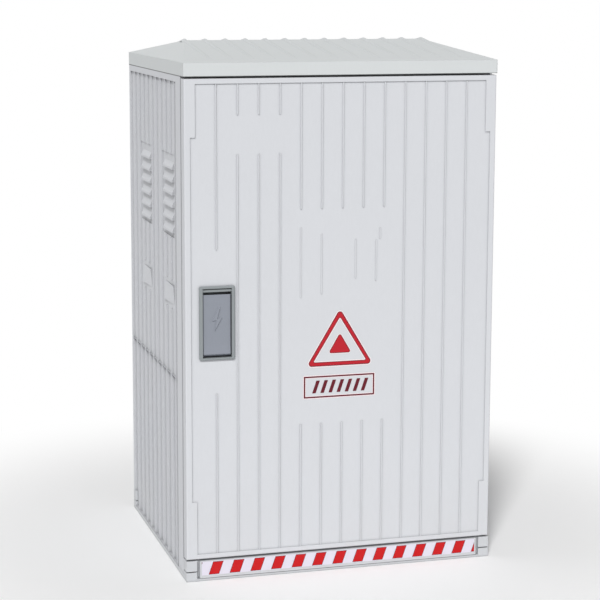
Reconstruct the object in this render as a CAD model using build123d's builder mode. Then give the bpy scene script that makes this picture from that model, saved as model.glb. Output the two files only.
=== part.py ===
from build123d import *
from math import acos, atan2, cos, hypot, pi, radians, sin, tan
import os

# Roadside cable distribution cabinet in moulded glass-fibre polyester.
# Origin: centre of the footprint on the ground. X runs to the right, the door faces -Y, Z is up.

# Outline of the body
body_width = 700.0
body_depth = 600.0
body_top = 1092.0
roof_fascia = 29.0
roof_rise = 37.0
ridge_inset = 70.0

# Base rings
foot_height = 20.0
split_gap = 2.5
sill_top = 46.0
ring_setback = 9.0
ring_wall = 8.0
base_flange = 5.0
sill_flange = 6.0
flange_reach = 50.0
corner_block = 24.0
skirt_bottom = 10.0
kick_bottom = 6.0
kick_top_gap = 1.0
kick_end_gap = 6.0
kick_skin = 4.0
threshold_height = 52.0
kick_screw_length = 12.0

# Tie bolts between the base rings, and ground anchors
tie_inset_y = 50.0
tie_boss_r = 9.0
anchor_inset_x = 30.0
anchor_inset_y = 100.0
anchor_hole_r = 7.0

# Panels
panel_depth = 9.0
panel_flange = 25.0
post_rebate = 4.0
foot_screw_inset = 25.0
foot_screw_y = 120.0
foot_flange_inset = 70.0
flange_wall = 5.0
side_relief = 4.0
lower_relief = 6.0
lower_relief_top = 432.0
pad_relief = 5.5
field_top_margin = 14.0
rib_width = 4.0
rib_draft = 12.0
side_rib_count = 10
side_rib_margin_front = 92.5
side_rib_margin_back = 65.96
side_field_margin_front = 77.5
side_field_margin_back = 17.0
corner_round = 3.0

# Louvres and facetted bosses of the side panels
louvre_count = 6
louvre_pitch = 27.7
louvre_lowest = 748.0
louvre_height = 16.0
louvre_lip = 3.0
louvre_wall = 2.0
louvre_slot = 9.0
louvre_end_gap = 24.0
pad_bottom = 737.0
pad_top = 920.0
facet_zone_bottom = 579.0
facet_zone_top = 644.0
facet_bottom = 590.0
facet_top = 632.0

# Door
door_side_gap = 1.0
door_top_gap = 4.0
door_bottom_gap = 3.0
door_depth = 27.0
door_skin = 6.0
door_wall = 4.0
door_seam = 4.0
door_relief = 2.5
door_border_top = 11.0
door_border_bottom = 11.0
door_border_side = 25.0
door_border_narrow = 14.0
door_step_bottom = 177.0
door_step_top_margin = 127.0
door_rib_count = 13
door_rib_margin = 69.8
door_rib_width = 3.2
stiffener_height = 8.0
stiffener_levels = (300.0, 860.0)

# Places where the door ribs stop
handle_gap = (414.0, 726.0)
upper_pad_margins = (164.0, 81.0)
sign_gap = (335.0, 807.0)
short_rib_relief = 1.2

# Door seal
gasket_width = 9.0
gasket_inset = 6.0
gasket_clearance = 0.3
seal_rib = 3.0

# Door hinge
hinge_inset_x = 10.0
hinge_inset_y = 15.0
hinge_pin_r = 3.0
hinge_block_width = 21.0
hinge_block_height = 30.0
hinge_pin_out = 12.0
bush_r = 5.0
bush_flange_r = 8.0
bush_length = 16.0
bracket_wall = 4.0
bracket_width = 25.0
bracket_reach = 56.0
running_gap = 0.05
seat_gap = 0.3

# Handle
handle_inset = 70.5
handle_z = 568.7
bezel_width = 77.7
bezel_height = 159.4
bezel_proud = 3.0
bezel_round = 3.0
bezel_bevel = 1.5
cup_width = 63.6
cup_height = 150.0
cup_wall = 3.0
cup_depth = 22.0
cup_ledge = 5.0
cup_ledge_wall = 4.0
cup_ledge_drop = 2.5
finger_gap = 6.0
flap_gap = 1.4
flap_skin = 3.0
flap_return = 8.0
flap_inset = 1.5
flap_crease = 27.0
flap_barrel_r = 7.0
flap_pin_r = 2.0
flap_pin_up = 9.0
flap_pin_in = 8.0
flap_slope = 2.0
zigzag_relief = 0.8
zigzag_half_width = 12.0
zigzag_half_height = 27.0

# Lock
spindle_r = 6.0
spindle_z = 565.0
spindle_collar_r = 8.0
spindle_collar = 2.7
spindle_seat_r = 5.0
spindle_end_r = 4.0
key_length = 9.0
key_size = 5.0
gear_teeth = 14
gear_module = 2.0
gear_thickness = 6.0
gear_depth = 32.5
pressure_angle = 20.0
tooth_backlash = 0.3
tooth_top = 1.6
tooth_root = 2.5
gear_top = 2.0
gear_root = 2.2
lock_plate_wall = 2.5
lock_plate_gap = 0.5
lock_plate_half_w = 33.0
lock_plate_half_h = 61.0
standoff_r = 5.5
standoff_x = 27.5
standoff_z = 53.0
tongue_length = 45.0
tongue_width = 14.0
tongue_wall = 4.0
nut_height = 5.0
rod_width = 12.0
rod_wall = 5.0
rod_back = 4.0
rod_depth = 21.5
rod_joggle = 26.0
rod_joggle_clear = 8.0
rod_widening = 20.0
rack_lead = 2
rack_tail = 7
rod_end_gap = 4.0
keeper_wall = 4.0
keeper_inset = 36.0
keeper_width = 28.0
keeper_slot_gap = 1.0
keeper_leg = 3.0
keeper_shelf = 21.0
guide_height = 14.0
guide_width = 28.0
guide_gap = 0.5
guide_levels = ((760.0, 960.0), (200.0, 380.0))

# Equipment inside
rail_height = 40.0
rail_depth = 25.0
rail_wall = 2.5
rail_y = 75.0
lower_rail_z = 400.0
upper_rail_margin = 142.0
carrier_width = 30.0
carrier_depth = 41.0
carrier_overhang = 20.0
carrier_notch = 4.0
busbar_height = 30.0
busbar_wall = 10.0
busbar_lowest = 490.0
busbar_inset = 50.0
fuse_rail_count = 5
fuse_rail_gap = 10.0
fuse_rail_depth = 60.0
fuse_rail_bottom = 410.0
fuse_rail_top_margin = 152.0
fuse_pocket_depth = 35.0
fuse_pocket_gap = 3.0
fuse_pocket_width = 50.0
fuse_pocket_height = 70.0
fuse_pocket_up = 15.0
fuse_link_depth = 50.0
fuse_lug_width = 12.0
fuse_lug_out = 9.0
terminal_pitch = 30.0
terminal_width = 20.0
terminal_height = 25.0
terminal_depth = 30.0
terminal_bore_r = 7.0
neutral_z = 260.0
neutral_height = 40.0
neutral_wall = 10.0
neutral_inset = 50.0
neutral_hole_count = 12
neutral_hole_r = 6.5
bracket_tab = 40.0
clamp_rail_y = 60.0
clamp_rail_z = 150.0
saddle_width = 60.0
saddle_height = 34.0
saddle_depth = 18.0
saddle_r = 24.0
saddle_trough = 8.0

# Roof
roof_wall = 4.0
roof_rib_width = 16.0
roof_rib_height = 3.5
roof_rib_crest = 4.0
roof_rib_fade = 0.2
roof_rib_margin = 45.0
roof_boss_r = 8.0
roof_boss_inset_y = 85.0
roof_boss_height = 36.0

# Header bar over the door opening
header_height = 52.0
header_lap = 22.0
header_lip = 24.0
header_lip_wall = 4.0

# Threshold under the door opening
threshold_foot = 20.0
threshold_screw_x = 200.0

# Fasteners
screw_r = 3.0
screw_gap = 0.2
head_r = 5.5
head_height = 3.0

# Derived places
half_w = body_width / 2
half_d = body_depth / 2
front_y = -half_d
panel_front_y = front_y + door_depth + door_seam
post_back_y = panel_front_y + flange_wall
panel_inner_x = half_w - panel_depth
back_inner_y = half_d - panel_depth
ring_outer_x = half_w - ring_setback
ring_outer_y = half_d - ring_setback
ring_inner_x = ring_outer_x - ring_wall
ring_inner_y = ring_outer_y - ring_wall
tie_spacing_y = body_depth - 2 * tie_inset_y
anchor_spacing_x = body_width - 2 * anchor_inset_x
anchor_spacing_y = body_depth - 2 * anchor_inset_y
foot_screw_x = half_w - foot_screw_inset
foot_flange_length = body_depth - 2 * foot_flange_inset
door_half = half_w - door_side_gap
door_bottom = sill_top + door_bottom_gap
door_top = body_top - door_top_gap
door_mid = (door_bottom + door_top) / 2
door_rear_y = front_y + door_depth
door_skin_y = front_y + door_skin
opening_half = panel_inner_x - panel_flange
field_top = body_top - field_top_margin
side_rib_pitch = (body_depth - side_rib_margin_front - side_rib_margin_back) / (side_rib_count - 1)
side_field_front = front_y + side_field_margin_front
side_field_back = half_d - side_field_margin_back
side_ribs = [front_y + side_rib_margin_front + i * side_rib_pitch for i in range(side_rib_count)]
door_field_half = half_w - door_border_side
door_field_wide_half = half_w - door_border_narrow
door_step_top = body_top - door_step_top_margin
door_rib_pitch = (body_width - 2 * door_rib_margin) / (door_rib_count - 1)
upper_pad_gap = tuple(body_top - margin for margin in upper_pad_margins)
hinge_x = half_w - hinge_inset_x
hinge_y = front_y + hinge_inset_y
handle_x = handle_inset - half_w
gear_layer = front_y + gear_depth
rod_plane_y = front_y + rod_depth
door_ribs = [(i - (door_rib_count - 1) / 2) * door_rib_pitch for i in range(door_rib_count)]
eave_z = body_top + roof_fascia
ridge_z = eave_z + roof_rise
gear_pitch_r = gear_module * gear_teeth / 2
gear_pitch = pi * gear_module

rail_levels = (lower_rail_z, body_top - upper_rail_margin)
busbar_length = body_width - 2 * busbar_inset
carrier_x = (busbar_length - carrier_width) / 2
fuse_rail_top = body_top - fuse_rail_top_margin
fuse_rail_pitch = (busbar_length - 2 * carrier_width - fuse_rail_gap) / fuse_rail_count
fuse_rail_width = fuse_rail_pitch - fuse_rail_gap
neutral_length = body_width - 2 * neutral_inset
roof_boss_y = half_d - roof_boss_inset_y
roof_rib_run = half_d - roof_rib_margin
flange_mid_x = opening_half + panel_flange / 2
back_bolt_x = (door_field_half + panel_inner_x) / 2
back_bolt_levels = [body_top * k / 8 for k in (1, 3, 5, 7)]
header_bottom = body_top - header_height
header_screw_levels = [header_bottom + header_height * k / 4 for k in (1, 3)]
foot_screw_places = [(side * foot_screw_x, way * foot_screw_y) for side in (-1, 1) for way in (-1, 1)]
threshold_screw_y = panel_front_y + flange_wall + threshold_foot / 2
threshold_screw_places = [(k * threshold_screw_x, threshold_screw_y) for k in (-1, 0, 1)]
roof_screw_places = [(side * flange_mid_x, way * roof_boss_y) for side in (-1, 1) for way in (-1, 1)]
bracket_screw_places = [(flange_mid_x, panel_front_y + bracket_reach * k / 14) for k in (3, 7)]

os.makedirs("parts", exist_ok=True)


def save(piece, name):
    """Label a finished piece and write it as a node."""
    piece.part.label = name
    export_step(piece.part, "parts/" + name + ".step")


def screw(shank_length):
    """A hexagon-head screw along +Z: head above the origin, shank below it."""
    with BuildPart() as made:
        with BuildSketch():
            RegularPolygon(head_r, 6)
        extrude(amount=head_height)
        with BuildSketch():
            Circle(screw_r)
        extrude(amount=-shank_length)
    return made.part


# Lower base ring: flat foot flange, set-back wall, four corner blocks, screw bosses and anchor holes
tie_x = ring_inner_x - tie_boss_r + ring_wall / 4
tie_grid = (2 * tie_x, tie_spacing_y, 2, 2)
block_grid = (body_width - corner_block, body_depth - corner_block, 2, 2)

with BuildPart() as foot_frame:
    with BuildSketch():
        Rectangle(body_width, body_depth)
        Rectangle(body_width - 2 * flange_reach, body_depth - 2 * flange_reach, mode=Mode.SUBTRACT)
    extrude(amount=base_flange)
    with BuildSketch(Plane.XY.offset(base_flange)):
        Rectangle(2 * ring_outer_x, 2 * ring_outer_y)
        Rectangle(2 * ring_inner_x, 2 * ring_inner_y, mode=Mode.SUBTRACT)
        with GridLocations(*block_grid):
            Rectangle(corner_block, corner_block)
        with GridLocations(*tie_grid):
            Circle(tie_boss_r)
    extrude(amount=foot_height - base_flange)
    with BuildSketch(Plane.XY.offset(base_flange)):
        with GridLocations(body_width - ring_setback, 0, 2, 1):
            Rectangle(ring_setback, body_depth - 2 * corner_block)
    extrude(amount=skirt_bottom - base_flange)
    with BuildSketch():
        with GridLocations(anchor_spacing_x, anchor_spacing_y, 2, 2):
            Circle(anchor_hole_r)
    extrude(amount=base_flange, mode=Mode.SUBTRACT)
    with BuildSketch(Plane.XY.offset(foot_height)):
        with GridLocations(*tie_grid):
            Circle(screw_r + screw_gap)
    extrude(amount=-(foot_height - base_flange), mode=Mode.SUBTRACT)
save(foot_frame, "foot_frame")

# Upper base ring: wall down to the lower ring, corner blocks that stop short of it, top flange
# and the seat of the lower hinge bush
kick_half = half_w - corner_block - kick_end_gap
kick_top = sill_top - kick_top_gap
kick_mid = (kick_bottom + kick_top) / 2
with BuildPart() as sill_frame:
    with BuildSketch(Plane.XY.offset(foot_height)):
        Rectangle(2 * ring_outer_x, 2 * ring_outer_y)
        Rectangle(2 * ring_inner_x, 2 * ring_inner_y, mode=Mode.SUBTRACT)
        with GridLocations(*tie_grid):
            Circle(tie_boss_r)
    extrude(amount=sill_top - foot_height)
    with BuildSketch(Plane.XY.offset(foot_height + split_gap)):
        with GridLocations(*block_grid):
            Rectangle(corner_block, corner_block)
    extrude(amount=sill_top - foot_height - split_gap)
    with BuildSketch(Plane.XY.offset(sill_top)):
        Rectangle(2 * ring_outer_x, 2 * ring_outer_y)
        Rectangle(body_width - 2 * flange_reach, body_depth - 2 * flange_reach, mode=Mode.SUBTRACT)
    extrude(amount=-sill_flange)
    with BuildSketch(Plane.XY.offset(sill_top)):
        with Locations((hinge_x, hinge_y)):
            Circle(bush_r + running_gap)
    extrude(amount=-bush_length, mode=Mode.SUBTRACT)
    with BuildSketch(Plane.XY.offset(sill_top)):
        with GridLocations(*tie_grid):
            Circle(screw_r + screw_gap)
    extrude(amount=-(sill_top - foot_height), mode=Mode.SUBTRACT)
    with BuildSketch(Plane.XY.offset(sill_top)):
        with Locations(*foot_screw_places, *threshold_screw_places):
            Circle(screw_r + screw_gap)
    extrude(amount=-sill_flange, mode=Mode.SUBTRACT)
    with BuildSketch(Plane.XZ.offset(ring_outer_y)):
        with Locations((0, kick_mid)):
            with GridLocations(kick_half, 0, 2, 1):
                Circle(screw_r + screw_gap)
    extrude(amount=-ring_wall, mode=Mode.SUBTRACT)
save(sill_frame, "sill_frame")

# Threshold: angle that the door closes against
with BuildPart() as threshold_bar:
    with BuildSketch(Plane.XY.offset(sill_top)):
        with Locations((0, panel_front_y)):
            Rectangle(2 * (opening_half - seat_gap), flange_wall, align=(Align.CENTER, Align.MIN))
    extrude(amount=threshold_height)
    with BuildSketch(Plane.XY.offset(sill_top)):
        with Locations((0, panel_front_y + flange_wall)):
            Rectangle(2 * (opening_half - seat_gap), threshold_foot, align=(Align.CENTER, Align.MIN))
        with Locations(*threshold_screw_places):
            Circle(screw_r + screw_gap, mode=Mode.SUBTRACT)
    extrude(amount=flange_wall)
save(threshold_bar, "threshold_bar")

# Kick panel: shallow moulded tray, open at the back, between the front corner blocks
with BuildPart() as kick_panel:
    with BuildSketch(Plane.XZ.offset(half_d)):
        with Locations((0, kick_mid)):
            Rectangle(2 * kick_half, kick_top - kick_bottom)
    extrude(amount=-ring_setback)
    with BuildSketch(Plane.XZ.offset(ring_outer_y)):
        with Locations((0, kick_mid)):
            Rectangle(2 * (kick_half - kick_skin), kick_top - kick_bottom - 2 * kick_skin)
            with GridLocations(kick_half, 0, 2, 1):
                Circle(2 * screw_r, mode=Mode.SUBTRACT)
    extrude(amount=ring_setback - kick_skin, mode=Mode.SUBTRACT)
    with BuildSketch(Plane.XZ.offset(ring_outer_y)):
        with Locations((0, kick_mid)):
            with GridLocations(kick_half, 0, 2, 1):
                Circle(screw_r + screw_gap)
    extrude(amount=kick_screw_length - ring_wall + seat_gap, mode=Mode.SUBTRACT)
save(kick_panel, "kick_panel")

# Facetted boss: a crest along the diagonal of a rectangle, falling to the field at the other corners
facet_width = 2 * side_rib_pitch
facet_height = facet_top - facet_bottom
facet_angle = atan2(facet_height, facet_width)
facet_reach = facet_width * facet_height / hypot(facet_width, facet_height)
crest_plane = Plane(
    origin=(0, 0, 0),
    x_dir=(0, sin(facet_angle), cos(facet_angle)),
    z_dir=(0, cos(facet_angle), -sin(facet_angle)),
)
with BuildPart() as facet_boss:
    with BuildSketch(Plane.YZ.offset(-side_relief)):
        Rectangle(facet_width, facet_height)
    extrude(amount=side_relief)
    with BuildSketch(crest_plane):
        Polygon((-facet_reach, 0), (0, -side_relief), (facet_reach, 0), align=None)
    extrude(amount=facet_width, both=True, mode=Mode.INTERSECT)

# Left side panel: skin with flanges, ribbed field in two depths, louvres in two columns
field_floor_x = -half_w + side_relief
pad_floor_x = -half_w + pad_relief
strip_edges = [side_field_front] + side_ribs + [side_field_back]
column_centres = (side_ribs[1] + side_rib_pitch / 2, side_ribs[6] + side_rib_pitch / 2)
column_width = 3 * side_rib_pitch - rib_width
hood_length = column_width - 2 * louvre_end_gap
hood_levels = [louvre_lowest + i * louvre_pitch for i in range(louvre_count)]
panel_height = body_top - sill_top
skirt_half = half_d - corner_block - kick_top_gap

strips = []
for number, (edge, following) in enumerate(zip(strip_edges, strip_edges[1:])):
    start = edge + (rib_width / 2 if number > 0 else 0)
    end = following - (rib_width / 2 if number < side_rib_count else 0)
    strips.append(((start + end) / 2, end - start))
strip_zones = ((lower_relief_top, field_top, side_relief), (skirt_bottom, lower_relief_top, lower_relief))

with BuildPart() as left_side_panel:
    with BuildSketch(Plane.XY.offset(sill_top)):
        with Locations((-half_w, panel_front_y)):
            Rectangle(panel_depth, half_d - panel_front_y, align=(Align.MIN, Align.MIN))
        with Locations((-panel_inner_x, panel_front_y)):
            Rectangle(post_rebate, flange_wall, align=(Align.MAX, Align.MIN), mode=Mode.SUBTRACT)
        with Locations((-half_w, back_inner_y)):
            Rectangle(panel_depth + panel_flange, flange_wall, align=(Align.MIN, Align.MAX))
    extrude(amount=panel_height)
    with BuildSketch(Plane.XY.offset(sill_top)):
        with Locations((-half_w, 0)):
            Rectangle(panel_depth + panel_flange, foot_flange_length, align=(Align.MIN, Align.CENTER))
    extrude(amount=flange_wall)
    with BuildSketch(Plane.XY.offset(body_top)):
        with Locations((-half_w, post_back_y)):
            Rectangle(panel_depth + panel_flange, back_inner_y - post_back_y, align=(Align.MIN, Align.MIN))
    extrude(amount=-flange_wall)
    with BuildSketch(Plane.XY.offset(skirt_bottom)):
        with Locations((-half_w, 0)):
            Rectangle(panel_depth, 2 * skirt_half, align=(Align.MIN, Align.CENTER))
    extrude(amount=sill_top - skirt_bottom)
    fillet(left_side_panel.edges().filter_by(Axis.Z).group_by(Axis.X)[0].sort_by(Axis.Y)[-1], corner_round)
    # strips between the ribs, deeper in the lower zone
    for bottom, top, depth in strip_zones:
        with BuildSketch(Plane.YZ.offset(-half_w)):
            for centre, width in strips:
                with Locations((centre, (bottom + top) / 2)):
                    Rectangle(width, top - bottom)
        extrude(amount=depth, taper=rib_draft, mode=Mode.SUBTRACT)
    # louvre pads and the fields of the facetted bosses, where the middle ribs stop
    with BuildSketch(Plane.YZ.offset(-half_w)):
        with Locations(*[(y, (pad_bottom + pad_top) / 2) for y in column_centres]):
            Rectangle(column_width, pad_top - pad_bottom)
    extrude(amount=pad_relief, taper=rib_draft, mode=Mode.SUBTRACT)
    with BuildSketch(Plane.YZ.offset(-half_w)):
        with Locations(*[(y, (facet_zone_bottom + facet_zone_top) / 2) for y in column_centres]):
            Rectangle(column_width, facet_zone_top - facet_zone_bottom)
    extrude(amount=side_relief, taper=rib_draft, mode=Mode.SUBTRACT)
    for y in column_centres:
        add(Pos(field_floor_x, y, (facet_bottom + facet_top) / 2) * facet_boss.part)
    # louvre hoods, closed above and at both ends, open below
    for y in column_centres:
        with BuildSketch(Plane.XZ.offset(-(y + hood_length / 2))):
            with Locations(*[(pad_floor_x, z) for z in hood_levels]):
                Polygon(
                    (0, louvre_height),
                    (-pad_relief, louvre_lip + louvre_wall),
                    (-pad_relief, 0),
                    (0, 0),
                    align=None,
                )
        extrude(amount=hood_length)
        with BuildSketch(Plane.XZ.offset(-(y + hood_length / 2 - louvre_wall))):
            with Locations(*[(pad_floor_x, z) for z in hood_levels]):
                Polygon(
                    (panel_depth, louvre_slot),
                    (0, louvre_slot),
                    (-pad_relief + louvre_wall, louvre_lip),
                    (-pad_relief + louvre_wall, -louvre_lip),
                    (0, -louvre_lip),
                    (0, 0),
                    (panel_depth, 0),
                    align=None,
                )
        extrude(amount=hood_length - 2 * louvre_wall, mode=Mode.SUBTRACT)
    # screw holes in the back, bottom and top flanges
    with BuildSketch(Plane.XZ.offset(-back_inner_y)):
        with Locations(*[(-back_bolt_x, z) for z in back_bolt_levels]):
            Circle(screw_r + screw_gap)
    extrude(amount=flange_wall, mode=Mode.SUBTRACT)
    with BuildSketch(Plane.XY.offset(sill_top)):
        with Locations(*foot_screw_places):
            Circle(screw_r + screw_gap)
    extrude(amount=flange_wall, mode=Mode.SUBTRACT)
    with BuildSketch(Plane.XY.offset(body_top)):
        with Locations(*roof_screw_places):
            Circle(screw_r + screw_gap)
    extrude(amount=-flange_wall, mode=Mode.SUBTRACT)
save(left_side_panel, "left_side_panel")

# Right side panel: the same moulding to the other hand
with BuildPart() as right_side_panel:
    mirror(left_side_panel.part, about=Plane.YZ)
    with BuildSketch(Plane.XY.offset(body_top)):
        with Locations(*bracket_screw_places):
            Circle(screw_r + screw_gap)
    extrude(amount=-flange_wall, mode=Mode.SUBTRACT)
save(right_side_panel, "right_side_panel")

# Front posts: flat bars that the door seal closes on, let into the rebates of the side panels
with BuildPart() as front_posts:
    with BuildSketch(Plane.XY.offset(sill_top)):
        with Locations((-opening_half, panel_front_y)):
            Rectangle(panel_flange + post_rebate, flange_wall, align=(Align.MAX, Align.MIN))
    extrude(amount=panel_height)
    with BuildSketch(Plane.XZ.offset(-panel_front_y)):
        with Locations(*[(-flange_mid_x, z) for z in header_screw_levels]):
            Circle(screw_r + screw_gap)
    extrude(amount=-flange_wall, mode=Mode.SUBTRACT)
    mirror(about=Plane.YZ)
save(front_posts, "front_posts")

# Back panel: ribbed moulding between the side panels, with a skirt between the rear corner blocks
rib_edges = [-door_field_half] + door_ribs + [door_field_half]
back_strips = []
for number, (edge, following) in enumerate(zip(rib_edges, rib_edges[1:])):
    start = edge + (rib_width / 2 if number > 0 else 0)
    end = following - (rib_width / 2 if number < door_rib_count else 0)
    back_strips.append(((start + end) / 2, end - start))

with BuildPart() as back_panel:
    with BuildSketch(Plane.XZ.offset(-half_d)):
        with Locations((0, (sill_top + body_top) / 2)):
            Rectangle(2 * (panel_inner_x - seat_gap), panel_height)
        with Locations((0, (skirt_bottom + sill_top) / 2)):
            Rectangle(2 * (half_w - corner_block - kick_top_gap), sill_top - skirt_bottom)
    extrude(amount=panel_depth)
    with BuildSketch(Plane.XZ.offset(-half_d)):
        for centre, width in back_strips:
            with Locations((centre, (skirt_bottom + field_top) / 2)):
                Rectangle(width, field_top - skirt_bottom)
    extrude(amount=side_relief, taper=rib_draft, mode=Mode.SUBTRACT)
    with BuildSketch(Plane.XZ.offset(-half_d)):
        with Locations(*[(side * back_bolt_x, z) for side in (-1, 1) for z in back_bolt_levels]):
            Circle(screw_r + screw_gap)
    extrude(amount=panel_depth, mode=Mode.SUBTRACT)
save(back_panel, "back_panel")

# Roof: hipped shell with a fascia, thirteen ribs that fade out before the eaves, four screw bosses
with BuildPart() as roof_rib:
    for y in (-roof_rib_run, 0, roof_rib_run):
        surface_z = eave_z + roof_rise * (1 - abs(y) / half_d)
        crest_z = surface_z + roof_rib_fade + (roof_rib_height - roof_rib_fade) * (1 - abs(y) / roof_rib_run)
        with BuildSketch(Plane.XZ.offset(-y)):
            Polygon(
                (-roof_rib_width / 2, crest_z - roof_rib_height - roof_wall / 2),
                (-roof_rib_crest / 2, crest_z),
                (roof_rib_crest / 2, crest_z),
                (roof_rib_width / 2, crest_z - roof_rib_height - roof_wall / 2),
                align=None,
            )
    loft(ruled=True)

with BuildPart() as roof:
    with BuildSketch(Plane.XY.offset(body_top)):
        Rectangle(body_width, body_depth)
    extrude(amount=roof_fascia)
    with BuildSketch(Plane.XY.offset(eave_z)):
        Rectangle(body_width, body_depth)
    with BuildSketch(Plane.XY.offset(ridge_z)):
        Rectangle(body_width - 2 * ridge_inset, roof_wall)
    loft(ruled=True)
    for x in door_ribs:
        add(Pos(x, 0, 0) * roof_rib.part)
    with BuildSketch(Plane.XY.offset(body_top)):
        Rectangle(body_width - 2 * roof_wall, body_depth - 2 * roof_wall)
    with BuildSketch(Plane.XY.offset(eave_z - roof_wall / 2)):
        Rectangle(body_width - 2 * roof_wall, body_depth - 2 * roof_wall)
    loft(ruled=True, mode=Mode.SUBTRACT)
    with BuildSketch(Plane.XY.offset(eave_z - roof_wall / 2)):
        Rectangle(body_width - 2 * roof_wall, body_depth - 2 * roof_wall)
    with BuildSketch(Plane.XY.offset(ridge_z - roof_wall)):
        Rectangle(body_width - 2 * ridge_inset, roof_wall / 4)
    loft(ruled=True, mode=Mode.SUBTRACT)
    with BuildSketch(Plane.XY.offset(body_top)):
        with Locations(*roof_screw_places):
            Circle(roof_boss_r)
    extrude(amount=roof_boss_height)
    with BuildSketch(Plane.XY.offset(body_top)):
        with Locations(*roof_screw_places):
            Circle(screw_r + screw_gap)
    extrude(amount=roof_fascia / 2, mode=Mode.SUBTRACT)
save(roof, "roof")

# Header bar: rim that the door closes against, lapped behind the front posts
with BuildPart() as header_bar:
    with BuildSketch(Plane.XY.offset(header_bottom)):
        with Locations((0, panel_front_y)):
            Rectangle(2 * (opening_half - seat_gap), 2 * flange_wall, align=(Align.CENTER, Align.MIN))
    extrude(amount=header_height)
    with BuildSketch(Plane.XY.offset(header_bottom)):
        with Locations((0, panel_front_y + flange_wall)):
            Rectangle(2 * (opening_half + header_lap), flange_wall, align=(Align.CENTER, Align.MIN))
    extrude(amount=header_height - flange_wall)
    with BuildSketch(Plane.XY.offset(header_bottom)):
        with Locations((0, panel_front_y + 2 * flange_wall)):
            Rectangle(2 * (opening_half - seat_gap), header_lip, align=(Align.CENTER, Align.MIN))
    extrude(amount=header_lip_wall)
    with BuildSketch(Plane.XZ.offset(-panel_front_y)):
        with Locations(*[(side * flange_mid_x, z) for side in (-1, 1) for z in header_screw_levels]):
            Circle(screw_r + screw_gap)
    extrude(amount=-2 * flange_wall, mode=Mode.SUBTRACT)
save(header_bar, "header_bar")

# Door hinge: steel bracket on top of the right side panel, bush in the corner block, two pins
with BuildPart() as upper_hinge_bracket:
    with BuildSketch(Plane.XY.offset(body_top)):
        with Locations((half_w - roof_wall - seat_gap, hinge_y - hinge_pin_r * 2)):
            Rectangle(bracket_width, bracket_reach, align=(Align.MAX, Align.MIN))
        with Locations((hinge_x, hinge_y)):
            Circle(hinge_pin_r + running_gap, mode=Mode.SUBTRACT)
        with Locations(*bracket_screw_places):
            Circle(screw_r + screw_gap, mode=Mode.SUBTRACT)
    extrude(amount=bracket_wall)
save(upper_hinge_bracket, "upper_hinge_bracket")

with BuildPart() as lower_hinge_bush:
    with BuildSketch(Plane.XY.offset(sill_top)):
        with Locations((hinge_x, hinge_y)):
            Circle(bush_flange_r)
    extrude(amount=door_bottom_gap - seat_gap)
    with BuildSketch(Plane.XY.offset(sill_top)):
        with Locations((hinge_x, hinge_y)):
            Circle(bush_r)
    extrude(amount=-(bush_length - seat_gap))
    with BuildSketch(Plane.XY.offset(sill_top - bush_length)):
        with Locations((hinge_x, hinge_y)):
            Circle(hinge_pin_r + running_gap)
    extrude(amount=bush_length + door_bottom_gap, mode=Mode.SUBTRACT)
save(lower_hinge_bush, "lower_hinge_bush")

pin_seat = hinge_block_height - door_wall
with BuildPart() as hinge_pins:
    with BuildSketch(Plane.XY.offset(door_bottom + pin_seat)):
        with Locations((hinge_x, hinge_y)):
            Circle(hinge_pin_r)
    extrude(amount=-(pin_seat + hinge_pin_out))
    with BuildSketch(Plane.XY.offset(door_top - pin_seat)):
        with Locations((hinge_x, hinge_y)):
            Circle(hinge_pin_r)
    extrude(amount=pin_seat + hinge_pin_out)
save(hinge_pins, "hinge_pins")

# Door panel: skin with a stepped sunk field, vertical ribs that stop round the handle, the two
# upper pads and the sign, and the handle cut-out
cup_half_w = cup_width / 2 + cup_wall
cup_half_h = cup_height / 2 + cup_wall
field_top_z = door_top - door_border_top
field_bottom_z = door_bottom + door_border_bottom
seal_half = door_half - door_wall - gasket_inset - gasket_width / 2
seal_top = door_top - door_wall - gasket_inset - gasket_width / 2
seal_bottom = door_bottom + door_wall + gasket_inset + gasket_width / 2

rib_runs = []
for number, x in enumerate(door_ribs):
    if number == 0:
        stops = [handle_gap]
    elif number < 4:
        stops = [upper_pad_gap]
    elif number < 9:
        stops = [sign_gap]
    else:
        stops = []
    levels = [field_bottom_z] + [z for gap in stops for z in gap] + [field_top_z]
    rib_runs += [(x, low, high) for low, high in zip(levels[::2], levels[1::2])]
short_ribs = [
    (door_ribs[4], 615.0, 767.0),
    (door_ribs[5], 621.0, 752.0),
    (door_ribs[6] + 30.0, 652.0, 738.0),
    (door_ribs[7] + 30.0, 645.0, 735.0),
    (door_ribs[8] - 8.0, 737.0, 761.0),
]

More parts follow.
